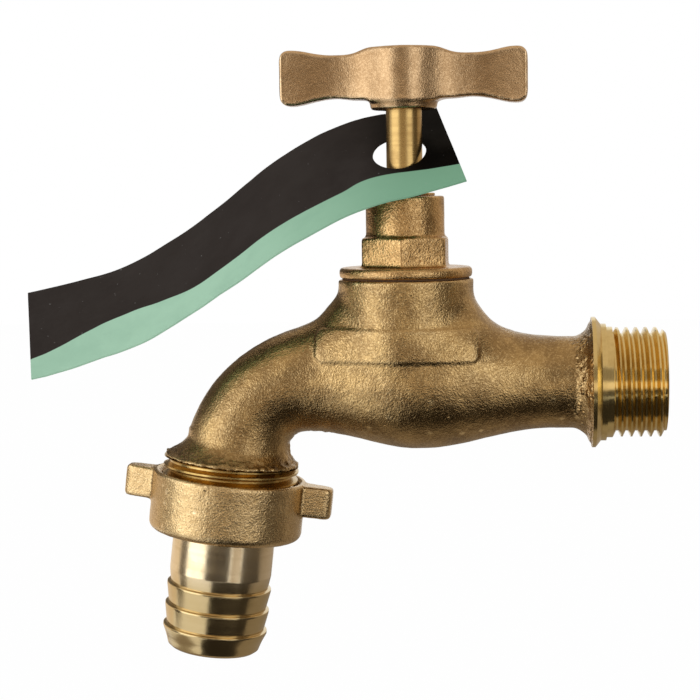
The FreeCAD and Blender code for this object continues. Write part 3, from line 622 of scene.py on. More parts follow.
@dataclass(frozen=True)
class CastFinish:
    """Brass as it leaves a sand mould, tumbled or blasted."""

    name: str
    base: Colour
    stain: Colour
    bright: Colour
    grains: float = 2900.0
    grain_depth: float = 0.14 * MM
    grain_strength: float = 0.8
    roughness: float = 0.27
    roughness_swing: float = 0.05
    worn: float = 9.0
    worn_gloss: float = 0.12
    grit: float = 0.30
    dark_specks: Pair = (0.0, 0.6)
    bright_specks: Pair = (0.5, 1.0)
    # How far painted shade darkens the pinholes
    hole_shade: float = 0.8
    hole_depth: float = 1.5
    # Colour of the painted shade on the lip and in the pinholes
    painted_shade_colour: Colour = (0.20, 0.125, 0.05, 1.0)
    # Where painted shade sets in on the flared lip along the outlet's axis, and coarse lumps along X
    lip: Pair | None = None
    lip_patches: Patches = Patches(700.0, 4.0, 0.65, (0.34, 0.62), (1.0, 0.3))
    lumpy: Pair | None = None
    lump_patches: Patches = Patches(260.0, 2.0, 0.55, (0.4, 0.58))
    lump_scale: float = 1000.0
    lump_edges: Pair = (0.1, 0.6)
    lump_height: float = 2.6

    def make(self, effects: Effects) -> Material:
        """Builds the material.

        Args:
            effects: The shared node groups.

        Returns:
            The material.
        """
        material, graph, shader = new_material(self.name)
        coords = graph.coords()
        grain = graph.effect(effects.grain, {"Vector": coords, "Grains": self.grains})
        worn = graph.effect(effects.wear, {"Vector": coords, "Reach": self.worn})["Mask"]
        specks, holes = grain["Specks"], grain["Holes"]
        colour = graph.blend(grain["Stains"], self.stain, self.base)
        dark = graph.stretch(specks, *self.dark_specks, self.grit, 0.0)
        colour = graph.blend(dark, colour, self.stain)
        light = graph.stretch(specks, *self.bright_specks, 0.0, self.grit)
        colour = graph.blend(light, colour, self.bright)
        height = graph.minus(grain["Height"], graph.times(holes, self.hole_depth))
        # Mottled painted shade on the flared lip above the outlet's thread
        if self.lip is not None:
            colour = graph.blend(self.lip_shade(graph, coords), colour, self.painted_shade_colour)
        if self.lumpy is not None:
            height = graph.plus(height, self.lumps(graph, coords))
        colour = graph.blend(worn, colour, self.bright)
        gloss = graph.stretch(specks, 0.0, 1.0, self.roughness + self.roughness_swing,
                              self.roughness - self.roughness_swing)
        graph.feed(shader, {
            # Pinholes darkened with painted shade
            "Base Color": graph.blend(graph.times(holes, self.hole_shade), colour,
                                      self.painted_shade_colour),
            "Roughness": graph.minus(gloss, graph.times(worn, self.worn_gloss)),
            "Metallic": 1.0,
            "Normal": graph.bump(height, self.grain_depth, self.grain_strength)})
        return material

    def lip_shade(self, graph: Graph, coords: Socket) -> Socket:
        """Returns the share of mottled painted shade on the flared lip above the outlet's thread."""
        zone = graph.stretch(graph.along(coords, OUTLET.way), *self.lip)
        return graph.times(zone, graph.patches(coords, self.lip_patches))

    def lumps(self, graph: Graph, coords: Socket) -> Socket:
        """Makes the coarse lumps that the mould left beside the inlet's flange.

        Args:
            graph: The material's graph.
            coords: The piece's coordinates.

        Returns:
            What the lumps add to the grain's height.
        """
        zone = graph.stretch(graph.along(coords, (1.0, 0.0, 0.0)), *self.lumpy)
        zone = graph.times(zone, graph.patches(coords, self.lump_patches))
        distance = graph.cells(coords, self.lump_scale)["Distance"]
        blobs = graph.stretch(distance, *self.lump_edges, 1.0, 0.0)
        return graph.times(graph.times(blobs, zone), self.lump_height)


@dataclass(frozen=True)
class TurnedFinish:
    """Brass cut bright on a lathe, with fine rings across its axis."""

    name: str
    base: Colour
    tarnish: Colour
    axis: Triple
    roughness: float = 0.2
    tarnished_roughness: float = 0.12
    rings: float = 9000.0
    ring_depth: float = 0.004 * MM
    ring_strength: float = 0.35
    streak_share: float = 0.25
    film: Patches = Patches(170.0, 4.0, 0.6, (0.42, 0.7), (0.0, 0.55))
    # Where the piece turns dull along its axis
    dull: Pair | None = None
    dull_share: float = 0.75
    dull_colour: Colour = (0.58, 0.43, 0.19, 1.0)

    def make(self, effects: Effects) -> Material:
        """Builds the material.

        Args:
            effects: The shared node groups.

        Returns:
            The material.
        """
        material, graph, shader = new_material(self.name)
        coords = graph.coords()
        reach = graph.along(coords, self.axis)
        rings = graph.effect(effects.turning, {"Along": reach, "Rings": self.rings})
        share = graph.plus(graph.patches(coords, self.film),
                           graph.times(rings["Streaks"], self.streak_share), True)
        colour = graph.blend(share, self.base, self.tarnish)
        if self.dull is not None:
            zone = graph.times(graph.stretch(reach, *self.dull), self.dull_share)
            colour = graph.blend(zone, colour, self.dull_colour)
        graph.feed(shader, {
            "Base Color": colour,
            "Roughness": graph.plus(graph.times(share, self.tarnished_roughness),
                                    self.roughness),
            "Metallic": 1.0,
            "Normal": graph.bump(rings["Height"], self.ring_depth, self.ring_strength)})
        return material


@dataclass(frozen=True)
class SoftFinish:
    """Rubber, pressed fibre or graphite: matt, with a faint grain."""

    name: str
    base: Colour
    pale: Colour
    roughness: float
    roughness_swing: float = 0.1
    grains: float = 3000.0
    grain_depth: float = 0.03 * MM
    grain_strength: float = 0.3
    pale_share: float = 0.5

    def make(self, effects: Effects) -> Material:
        """Builds the material.

        Args:
            effects: The shared node groups.

        Returns:
            The material.
        """
        material, graph, shader = new_material(self.name)
        grain = graph.effect(effects.grain, {"Vector": graph.coords(), "Grains": self.grains})
        share = graph.times(grain["Stains"], self.pale_share)
        graph.feed(shader, {
            "Base Color": graph.blend(share, self.base, self.pale),
            "Roughness": graph.stretch(grain["Specks"], 0.0, 1.0, self.roughness,
                                       self.roughness - self.roughness_swing),
            "Normal": graph.bump(grain["Height"], self.grain_depth, self.grain_strength)})
        return material


@dataclass(frozen=True)
class PrintedFilm:
    """Plastic strip printed in two plain colours, with a waved border between them."""

    name: str = "printed_film"
    field: Colour = (0.030, 0.024, 0.022, 1.0)
    field_worn: Colour = (0.040, 0.033, 0.030, 1.0)
    band: Colour = (0.45, 0.72, 0.53, 1.0)
    band_worn: Colour = (0.35, 0.59, 0.43, 1.0)
    # Painted shade that the handle casts on the strip near its hole, on the field and on the band
    shaded_field: Colour = (0.002, 0.0018, 0.0015, 1.0)
    shaded_band: Colour = (0.23, 0.46, 0.30, 1.0)
    dust: Colour = (0.42, 0.42, 0.40, 1.0)
    # Where along the strip the painted shade of the handle, darkest at the hole's end, gives way to
    # each colour, as shares of its length
    field_shade_fades: Pair = (0.07, 0.2)
    band_shade_fades: Pair = (0.0, 0.6)
    border_blur: float = 0.004
    wear: Patches = Patches(90.0, 4.0, 0.65, (0.35, 0.7))
    band_wear: float = 0.5
    dust_specks: Patches = Patches(900.0, 3.0, 0.7, (0.70, 0.76), (0.0, 0.5))
    roughness: Pair = (0.34, 0.5)
    shine: float = 0.04
    crease_scale: float = 420.0
    crease_depth: float = 0.1 * MM
    crease_strength: float = 0.25
    # The border across the strip at shares of its length, from the hole's end
    border: tuple[Pair, ...] = (
        (0.0, 0.80), (0.03, 0.78), (0.063, 0.76), (0.10, 0.735), (0.14, 0.715), (0.20, 0.71),
        (0.25, 0.745), (0.36, 0.73), (0.5, 0.725), (0.61, 0.73), (0.70, 0.65), (0.78, 0.59),
        (0.87, 0.65), (0.95, 0.745), (1.0, 0.79))

    def border_at(self, graph: Graph, along: Socket) -> Socket:
        """Finds how far down the border lies.

        Args:
            graph: The material's graph.
            along: The share of the strip's length.

        Returns:
            The border's place as a share of the strip's width.
        """
        wave = graph.add("ShaderNodeFloatCurve", {"Value": along})
        curve = wave.mapping.curves[0]
        curve.points[0].location = self.border[0]
        curve.points[-1].location = self.border[-1]
        for point in self.border[1:-1]:
            curve.points.new(*point)
        wave.mapping.update()
        return wave.outputs["Value"]

    def make(self) -> Material:
        """Builds the material.

        Returns:
            The material.
        """
        material, graph, shader = new_material(self.name)
        coords = graph.add("ShaderNodeTexCoord").outputs
        place = graph.add("ShaderNodeSeparateXYZ", {"Vector": coords["UV"]}).outputs
        along, down = place["X"], graph.minus(1.0, place["Y"])
        past = graph.minus(down, self.border_at(graph, along))
        below = graph.stretch(past, -self.border_blur, self.border_blur)
        solid = coords["Object"]
        worn = graph.patches(solid, self.wear)
        field = graph.blend(worn, self.field, self.field_worn)
        # Painted shade of the handle darkens the field and the band towards the hole's end
        field = graph.blend(graph.stretch(along, *self.field_shade_fades), self.shaded_field, field)
        band = graph.blend(graph.times(worn, self.band_wear), self.band, self.band_worn)
        band = graph.blend(graph.stretch(along, *self.band_shade_fades), self.shaded_band, band)
        creases = graph.noise(solid, self.crease_scale, detail=2.0, rough=0.4)
        graph.feed(shader, {
            "Base Color": graph.blend(graph.patches(solid, self.dust_specks),
                                      graph.blend(below, field, band), self.dust),
            "Roughness": graph.stretch(worn, 0.0, 1.0, *self.roughness),
            "Specular IOR Level": self.shine,
            "Normal": graph.bump(creases, self.crease_depth, self.crease_strength)})
        return material


class Finishes:
    """All finishes of the tap, made once."""

    def __init__(self) -> None:
        """Makes the materials."""
        effects = Effects()
        inlet_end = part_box("body")[1].x
        outlet_start = OUTLET.start.dot(OUTLET.way)
        self.body = CastFinish(
            "sand_cast_body", (0.52, 0.345, 0.145, 1.0), (0.30, 0.19, 0.08, 1.0),
            (0.86, 0.64, 0.33, 1.0), lumpy=(inlet_end - 20 * MM, inlet_end - 15 * MM),
            lip=(outlet_start - 0.6 * MM, outlet_start + 2.2 * MM)).make(effects)
        self.bonnet = CastFinish(
            "sand_cast_bonnet", (0.60, 0.37, 0.15, 1.0), (0.35, 0.205, 0.08, 1.0),
            (0.90, 0.64, 0.32, 1.0)).make(effects)
        self.handle = CastFinish(
            "tumbled_handle", (0.50, 0.325, 0.17, 1.0), (0.40, 0.25, 0.125, 1.0),
            (0.84, 0.62, 0.38, 1.0), grains=3600.0, grain_depth=0.06 * MM,
            roughness=0.30, worn=26.0, grit=0.22).make(effects)
        self.nut = CastFinish(
            "blasted_nut", (0.65, 0.46, 0.225, 1.0), (0.52, 0.355, 0.165, 1.0),
            (0.92, 0.72, 0.43, 1.0), grains=3000.0, grain_depth=0.12 * MM).make(effects)
        self.inlet = TurnedFinish(
            "cut_inlet_thread", (0.84, 0.655, 0.30, 1.0), (0.54, 0.385, 0.14, 1.0),
            (1.0, 0.0, 0.0), roughness=0.16, rings=2200.0, ring_depth=0.03 * MM).make(effects)
        self.outlet = TurnedFinish(
            "cut_outlet_thread", (0.60, 0.42, 0.16, 1.0), (0.36, 0.23, 0.07, 1.0),
            tuple(OUTLET.way)).make(effects)
        self.tail = TurnedFinish(
            "turned_tail", (0.84, 0.69, 0.46, 1.0), (0.72, 0.56, 0.33, 1.0),
            tuple(OUTLET.way), roughness=0.17, rings=6000.0,
            dull=(outlet_start + 24.5 * MM, outlet_start + 28.5 * MM)).make(effects)
        self.spindle = TurnedFinish(
            "turned_spindle", (0.53, 0.355, 0.135, 1.0), (0.34, 0.205, 0.072, 1.0),
            (0.0, 0.0, 1.0), roughness=0.24).make(effects)
        self.rubber = SoftFinish(
            "washer_rubber", (0.02, 0.02, 0.02, 1.0), (0.05, 0.05, 0.05, 1.0), 0.7).make(effects)
        self.fibre = SoftFinish(
            "gasket_fibre", (0.10, 0.048, 0.018, 1.0), (0.16, 0.08, 0.032, 1.0),
            0.9).make(effects)
        self.graphite = SoftFinish(
            "packing_graphite", (0.05, 0.05, 0.055, 1.0), (0.10, 0.10, 0.11, 1.0),
            0.5).make(effects)
        self.film = PrintedFilm().make()


@dataclass(frozen=True)
class TapBody:
    """The sand-cast body with its two machined thread ends."""

    finishes: Finishes
    machined_inlet: float = 14.0 * MM
    lip_height: float = 3.2 * MM
    grid: float = 0.4 * MM
    edge_rounds: int = 4
    swells: Pair = (2.4 * MM, 0.14 * MM)
    # Where the skin is relaxed, from the spindle's axis outwards and in height
    blend_outwards: Window = (11.4 * MM, 0.4 * MM, 19.0 * MM, 2.5 * MM)
    blend_upwards: Window = (1.0 * MM, 2.5 * MM, 19.0 * MM, 2.5 * MM)
    blend_rounds: int = 140
    panel_front: float = -5.7 * MM
    panel_size: Pair = (31.0 * MM, 6.2 * MM)
    panel_shift: Pair = (-1.35 * MM, 8.0 * MM)
    panel_corner: float = 1.6 * MM
    panel_edge: float = 0.45 * MM
    panel_raise: float = 0.32 * MM
    rag_pitch: float = 0.9 * MM
    rag_height: float = 0.5 * MM
    rag_middle: float = 0.5
    rag_start: float = 0.4 * MM
    rag_rise: float = 1.4 * MM
    lip_inside: float = 9.5 * MM
    seam_inside: float = 8.0 * MM
    seam_half: float = 0.7 * MM
    seam_height: float = 0.7 * MM
    seam_middle: float = 0.3
    seam_top: float = -3.0 * MM
    seam_fade: float = 2.0 * MM
    seam_bend: float = -18.0 * MM
    seam_reach: float = 4.0 * MM
    seam_elsewhere: float = 0.15
    shade_angle: float = 32.0

    def blend_weight(self, point: Vector) -> float:
        """Says how much the skin is relaxed where the boss runs into the belly, from 0 to 1."""
        return min(window(from_spindle(point), *self.blend_outwards),
                   window(point.z, *self.blend_upwards))

    def panel_weight(self, point: Vector) -> float:
        """Says how much the blank name panel lifts the skin at a point.

        Args:
            point: A point of the casting.

        Returns:
            A share from 0 to 1.
        """
        if point.y > self.panel_front:
            return 0.0
        middle = SPINDLE.start.x + self.panel_shift[0]
        run = abs(point.x - middle) - self.panel_size[0] / 2
        rise = abs(point.z - self.panel_shift[1]) - self.panel_size[1] / 2
        corner = math.hypot(max(run + self.panel_corner, 0.0),
                            max(rise + self.panel_corner, 0.0)) - self.panel_corner
        return unit(0.5 - max(run, rise, corner) / self.panel_edge)

    def seam_weight(self, point: Vector) -> float:
        """Says how much of the mould's seam stands out at a point of the underside.

        Args:
            point: A point of the casting.

        Returns:
            A share from 0 to 1.
        """
        if point.z > self.seam_top or abs(point.y) > self.seam_half:
            return 0.0
        if OUTLET.measure(point)[1] < self.seam_inside:
            return 0.0
        low = unit((self.seam_top - point.z) / self.seam_fade)
        bend = SPINDLE.start.x + self.seam_bend
        near = max(self.seam_elsewhere, unit(2 - abs(point.x - bend) / self.seam_reach))
        return near * low * (1 - abs(point.y) / self.seam_half)

    def lip_weight(self, point: Vector) -> float:
        """Says how ragged the flared lip above the outlet's thread is at a point.

        Args:
            point: A point of the casting.

        Returns:
            A share from 0 to 1.
        """
        reach, distance = OUTLET.measure(point)
        if distance < self.lip_inside:
            return 0.0
        return unit((reach - self.rag_start) / self.rag_rise)

    def build(self) -> None:
        """Builds the casting and its thread ends, and ties them to the frame."""
        inlet_plane = Vector((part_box("body")[1].x - self.machined_inlet, 0, 0))
        inlet_way = Vector((1, 0, 0))
        outlet_plane = OUTLET.start + OUTLET.way * self.lip_height
        casting = merged_copy("body", "body_casting")
        cut_off(casting, inlet_plane, inlet_way, True)
        cut_off(casting, outlet_plane, OUTLET.way, True)
        soften(casting, self.grid, self.edge_rounds)
        relax(casting, self.blend_rounds, vertex_group=weigh(casting, "boss_blend", self.blend_weight))
        ripple(casting, "mould_swells", *self.swells)
        ragged = clouds("ragged_lip", self.rag_pitch)
        push(casting, self.rag_height, self.rag_middle, texture=ragged,
             vertex_group=weigh(casting, "rough_lip", self.lip_weight))
        push(casting, self.seam_height, self.seam_middle, texture=ragged,
             vertex_group=weigh(casting, "mould_seam", self.seam_weight))
        push(casting, self.panel_raise, vertex_group=weigh(casting, "name_panel", self.panel_weight))
        casting.vertex_groups.clear()
        hand_over(casting, "tap_body", self.finishes.body, "body")
        for name, plane, way, material in (
                ("inlet_thread", inlet_plane, inlet_way, self.finishes.inlet),
                ("outlet_thread", outlet_plane, OUTLET.way, self.finishes.outlet)):
            thread = merged_copy("body", name)
            cut_off(thread, plane, way, False)
            shade_by_angle(thread, self.shade_angle)
            hand_over(thread, "tap_body", material, "body")


@dataclass(frozen=True)
class Headwork:
    """The bonnet, the gland disc and the spindle above the body."""

    finishes: Finishes
    bonnet_grid: float = 0.28 * MM
    disc_grid: float = 0.16 * MM
    edge_rounds: int = 2
    skin_rounds: int = 6
    swells: Pair = (1.8 * MM, 0.08 * MM)
    bore_reach: float = 6.3 * MM
    bore_room: float = 0.2 * MM
    collar_drop: float = 0.24 * MM
    collar_reach: float = 0.9 * MM
    gasket_room: float = 0.05 * MM
    shade_angle: float = 30.0

    def foot_weight(self, gasket: tuple[Vector, Vector], point: Vector) -> float:
        """Says how far the collar's foot comes down round the gasket, at a point.

        Args:
            gasket: The gasket's box.
            point: A point of the bonnet.

        Returns:
            A share from 0 to 1.
        """
        low, high = gasket
        if from_spindle(point) < (high.x - low.x) / 2 + self.gasket_room:
            return 0.0
        return unit(1 - (point.z - high.z) / self.collar_reach)

    def build(self) -> None:
        """Builds the pieces and ties them to the frame."""
        bonnet = merged_copy("bonnet", "bonnet_casting")
        soften(bonnet, self.bonnet_grid, self.edge_rounds)
        bores = weigh(bonnet, "bores", lambda point: float(from_spindle(point) < self.bore_reach))
        relax(bonnet, self.skin_rounds, vertex_group=bores, invert_vertex_group=True)
        push(bonnet, -self.bore_room, vertex_group=bores)
        foot = weigh(bonnet, "collar_foot", partial(self.foot_weight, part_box("bonnet_gasket")))
        push(bonnet, -self.collar_drop, vertex_group=foot, direction="Z")
        ripple(bonnet, "bonnet_swells", *self.swells)
        hand_over(bonnet, "tap_body", self.finishes.bonnet, "bonnet")
        disc = merged_copy("gland_screw", "gland_disc")
        soften(disc, self.disc_grid, self.edge_rounds)
        hand_over(disc, "tap_body", self.finishes.bonnet, "gland_screw")
        spindle = merged_copy("spindle", "spindle_shaft")
        shade_by_angle(spindle, self.shade_angle)
        hand_over(spindle, "spindle", self.finishes.spindle, "spindle")


@dataclass(frozen=True)
class Handle:
    """The cast T-handle and the screw in its top."""

    finishes: Finishes
    grid: float = 0.24 * MM
    rounding: int = 36
    swells: Pair = (3.0 * MM, 0.08 * MM)
    shade_angle: float = 30.0

    def build(self) -> None:
        """Builds the handle and its screw, and ties them to the frame."""
        bar = merged_copy("handle", "handle_casting")
        soften(bar, self.grid, self.rounding)
        ripple(bar, "handle_swells", *self.swells)
        hand_over(bar, "spindle", self.finishes.handle, "handle")
        screw = merged_copy("handle_screw", "handle_screw_head")
        shade_by_angle(screw, self.shade_angle)
        hand_over(screw, "spindle", self.finishes.spindle, "handle_screw")


@dataclass(frozen=True)
class HoseUnion:
    """The eared nut and the turned hose tail that it holds."""

    finishes: Finishes
    # The tail's outline, in millimetres
    bore: float = 7.6
    collar_radius: float = 12.0
    collar_top: float = 13.4
    nut_seat: float = 15.4
    neck_radius: float = 10.0
    neck_end: float = 25.2
    taper_ease: Pair = (0.04, 0.35)
    first_barb: float = 28.0
    barb_count: int = 3
    barb_pitch: float = 4.18
    barb_radius: float = 10.25
    root_radius: float = 9.6
    barb_step: float = 0.12
    land: float = 0.5
    nose: tuple[Pair, ...] = ((9.6, 38.36), (9.25, 39.36), (9.0, 40.2), (8.3, 40.76))
    sides: int = 160
    edge_width: float = 0.07 * MM
    edge_angle: float = math.radians(25)
    shade_angle: float = 40.0
    nut_grid: float = 0.3 * MM
    nut_rounds: int = 4
    nut_swells: Pair = (2.0 * MM, 0.1 * MM)
    ear_root: float = 15.3 * MM
    ear_run: float = 5.2 * MM
    ear_leads: float = 1.5 * MM
    ear_draft: float = 0.2 * MM
    ear_half: float = 2.8 * MM
    ear_reach: float = 3.3 * MM

    def outline(self) -> list[Pair]:
        """Works out the tail's outline.

        Returns:
            Points of radius and height in millimetres, from the bore's top outwards and down.
        """
        points = [(self.bore, self.collar_top), (self.collar_radius, self.collar_top),
                  (self.collar_radius, self.nut_seat), (self.neck_radius, self.nut_seat),
                  (self.neck_radius, self.neck_end),
                  (self.neck_radius - self.taper_ease[0], self.neck_end + self.taper_ease[1])]
        for index in range(self.barb_count):
            top = self.first_barb + index * self.barb_pitch
            points += [(self.root_radius, top - self.barb_step), (self.barb_radius, top),
                       (self.barb_radius, top + self.land)]
        points += self.nose
        points.append((self.bore, self.nose[-1][1]))
        return points

    def lean_ears(self, nut: Piece, place: Matrix) -> None:
        """Gives the nut's ears the lean and the draft of their mould.

        Args:
            nut: The nut's casting.
            place: The nut's placement, with its axis along Z.
        """
        back = place.inverted()
        for vertex in nut.data.vertices:
            spot = back @ vertex.co
            share = (math.hypot(spot.x, spot.y) - self.ear_root) / self.ear_run
            if share > 0 and abs(spot.y) < self.ear_reach:
                most = self.ear_leads if spot.x * spot.y < 0 else self.ear_draft
                depth = unit(abs(spot.y) / self.ear_half)
                spot.y -= math.copysign(share * most * depth, spot.y)
                vertex.co = place @ spot

    def build(self) -> None:
        """Builds the nut and the tail, and ties them to the frame."""
        place = OUTLET.place()
        tail = turn_on_lathe("turned_tail", self.outline(), self.sides)
        apply_modifier(tail, "BEVEL", width=self.edge_width, segments=3, limit_method="ANGLE",
                       angle_limit=self.edge_angle)
        put_in_place(tail, place)
        shade_by_angle(tail, self.shade_angle)
        apply_modifier(tail, "WEIGHTED_NORMAL", weight=100, keep_sharp=True)
        hand_over(tail, "hose_tail", self.finishes.tail, "hose_tail")
        nut = merged_copy("union_nut", "nut_casting")
        soften(nut, self.nut_grid, self.nut_rounds)
        self.lean_ears(nut, place)
        ripple(nut, "nut_swells", *self.nut_swells)
        hand_over(nut, "union_nut", self.finishes.nut, "union_nut")


@dataclass(frozen=True)
class HangStrip:
    """The printed plastic strip that hangs on the spindle, bent in a long S."""

    finishes: Finishes
    width: float = 28.6 * MM
    thickness: float = 0.35 * MM
    # Cells along the strip and across it
    grid: tuple[int, int] = (186, 57)
    hole_radius: float = 5.15 * MM
    hole_sides: int = 96
    hole_place: Triple = (-0.85 * MM, 0.0, 43.7 * MM)
    across: Triple = (0.235, -0.81, -0.53)
    # The strip's bends in millimetres, along it and square to it, from its hole's middle
    route: tuple[Pair, ...] = (
        (-9.9, 1.7), (-5.0, 0.9), (0.0, 0.1), (5.0, -0.3), (10.0, -1.3), (15.0, -2.9),
        (25.0, -7.8), (35.0, -14.9), (45.0, -21.0), (55.0, -25.7), (65.0, -27.6),
        (75.9, -28.6))
    hole_point: int = 2
    crease_pitch: float = 16.0 * MM
    crease_height: float = 0.5 * MM
    # Each twisted edge: name, side, lift, where the twist starts, its rise, its end, its fall
    twists: tuple[Row, ...] = (
        ("lower_edge", -1.0, 1.2 * MM, 32.0 * MM, 20.0 * MM, 90.0 * MM, 12.0 * MM),
        ("upper_edge", 1.0, 1.1 * MM, 2.0 * MM, 9.0 * MM, 40.0 * MM, 20.0 * MM))
    shade_angle: float = 40.0

    def edge_weight(self, side: float, where: list[float], point: Vector) -> float:
        """Says how far a twist lifts the strip's upper edge, side 1, or lower edge, side -1."""
        return window(point.x, *where) * (0.5 + side * point.z / self.width)

    def place(self) -> Matrix:
        """Works out where the bent strip goes.

        Returns:
            Its placement, with X along the strip, Y square to it and Z across it.
        """
        across = Vector(self.across).normalized()
        along = Vector((-1, 0, 0))
        along = (along - across * along.dot(across)).normalized()
        middle = Vector(self.hole_place) + Vector((SPINDLE.start.x, 0, 0))
        return placement(middle, along, along.cross(across), -across)

    def guide(self) -> Piece:
        """Draws the line that the strip bends along, in the strip's own axes.

        Returns:
            The line, as a curve object.
        """
        curve = bpy.data.curves.new("strip_guide", "CURVE")
        curve.dimensions = "2D"
        curve.resolution_u = 24
        spline = curve.splines.new("BEZIER")
        spline.bezier_points.add(len(self.route) - 1)
        for point, (run, rise) in zip(spline.bezier_points, self.route):
            point.co = (run * MM, rise * MM, 0)
            point.handle_left_type = "AUTO"
            point.handle_right_type = "AUTO"
        return add_object("strip_guide", curve)

    def flat_strip(self, length: float) -> Piece:
        """Cuts the flat strip, with its hole, before it is bent.

        Args:
            length: The strip's length along its guide, in metres.

        Returns:
            The strip, along X from 0, with its width along Z.
        """
        columns, rows = self.grid
        bpy.ops.mesh.primitive_grid_add(x_subdivisions=columns, y_subdivisions=rows, size=1,
                                        calc_uvs=True)
        strip = bpy.context.object
        strip.name = "hang_strip"
        flat = Matrix.Diagonal((length, self.width, 1, 1))
        stand = Matrix.Rotation(QUARTER_TURN, 4, "X")
        put_in_place(strip, Matrix.Translation((length / 2, 0, 0)) @ stand @ flat)
        apply_modifier(strip, "SOLIDIFY", thickness=self.thickness, offset=1.0)
        before_hole = self.route[:self.hole_point + 1]
        hole_at = sum(math.dist(*ends) for ends in zip(before_hole, before_hole[1:])) * MM
        bpy.ops.mesh.primitive_cylinder_add(vertices=self.hole_sides, radius=self.hole_radius,
                                            depth=10 * self.thickness, location=(hole_at, 0, 0),
                                            rotation=(QUARTER_TURN, 0, 0))
        punch = bpy.context.object
        apply_modifier(strip, "BOOLEAN", operation="DIFFERENCE", object=punch, solver="EXACT")
        bpy.data.objects.remove(punch)
        return strip

    def build(self) -> None:
        """Builds the strip and ties it to the frame."""
        guide = self.guide()
        strip = self.flat_strip(guide.data.splines[0].calc_length())
        push(strip, self.crease_height, 0.5, direction="Y",
             texture=clouds("strip_creases", self.crease_pitch))
        for name, side, lift, *where in self.twists:
            edge = weigh(strip, name, partial(self.edge_weight, side, where))
            push(strip, lift, vertex_group=edge, direction="Y")
        strip.vertex_groups.clear()
        apply_modifier(strip, "CURVE", object=guide, deform_axis="POS_X")
        bpy.data.objects.remove(guide)
        put_in_place(strip, self.place())
        shade_by_angle(strip, self.shade_angle)
        hand_over(strip, "hang_tag", self.finishes.film, "hang_tag")


@dataclass(frozen=True)
class HiddenParts:
    """CAD nodes that stay as they are and only get a finish."""

    finishes: Finishes

    def dress(self) -> None:
        """Gives each node its material."""
        for material, nodes in (
                (self.finishes.fibre, ("bonnet_gasket",)),
                (self.finishes.spindle, ("packing_washer", "jumper", "jumper_clip",
                                         "washer_nut")),
                (self.finishes.rubber, ("seat_washer", "tail_washer")),
                (self.finishes.graphite, ("packing_ring_1", "packing_ring_2",
                                          "packing_ring_3"))):
            for node in nodes:
                frame["nodes"][node].material_slots[0].material = material
                log.info("%s: %s", node, material.name)


def towards(bearing: float, lift: float = 0.0) -> Vector:
    """Finds a way from the object outwards.

    Args:
        bearing: Degrees round from the front.
        lift: Degrees above the horizon.

    Returns:
        The way, of length 1.
    """
    turn, rise = math.radians(bearing), math.radians(lift)
    return Vector((math.sin(turn) * math.cos(rise), -math.cos(turn) * math.cos(rise), math.sin(rise)))


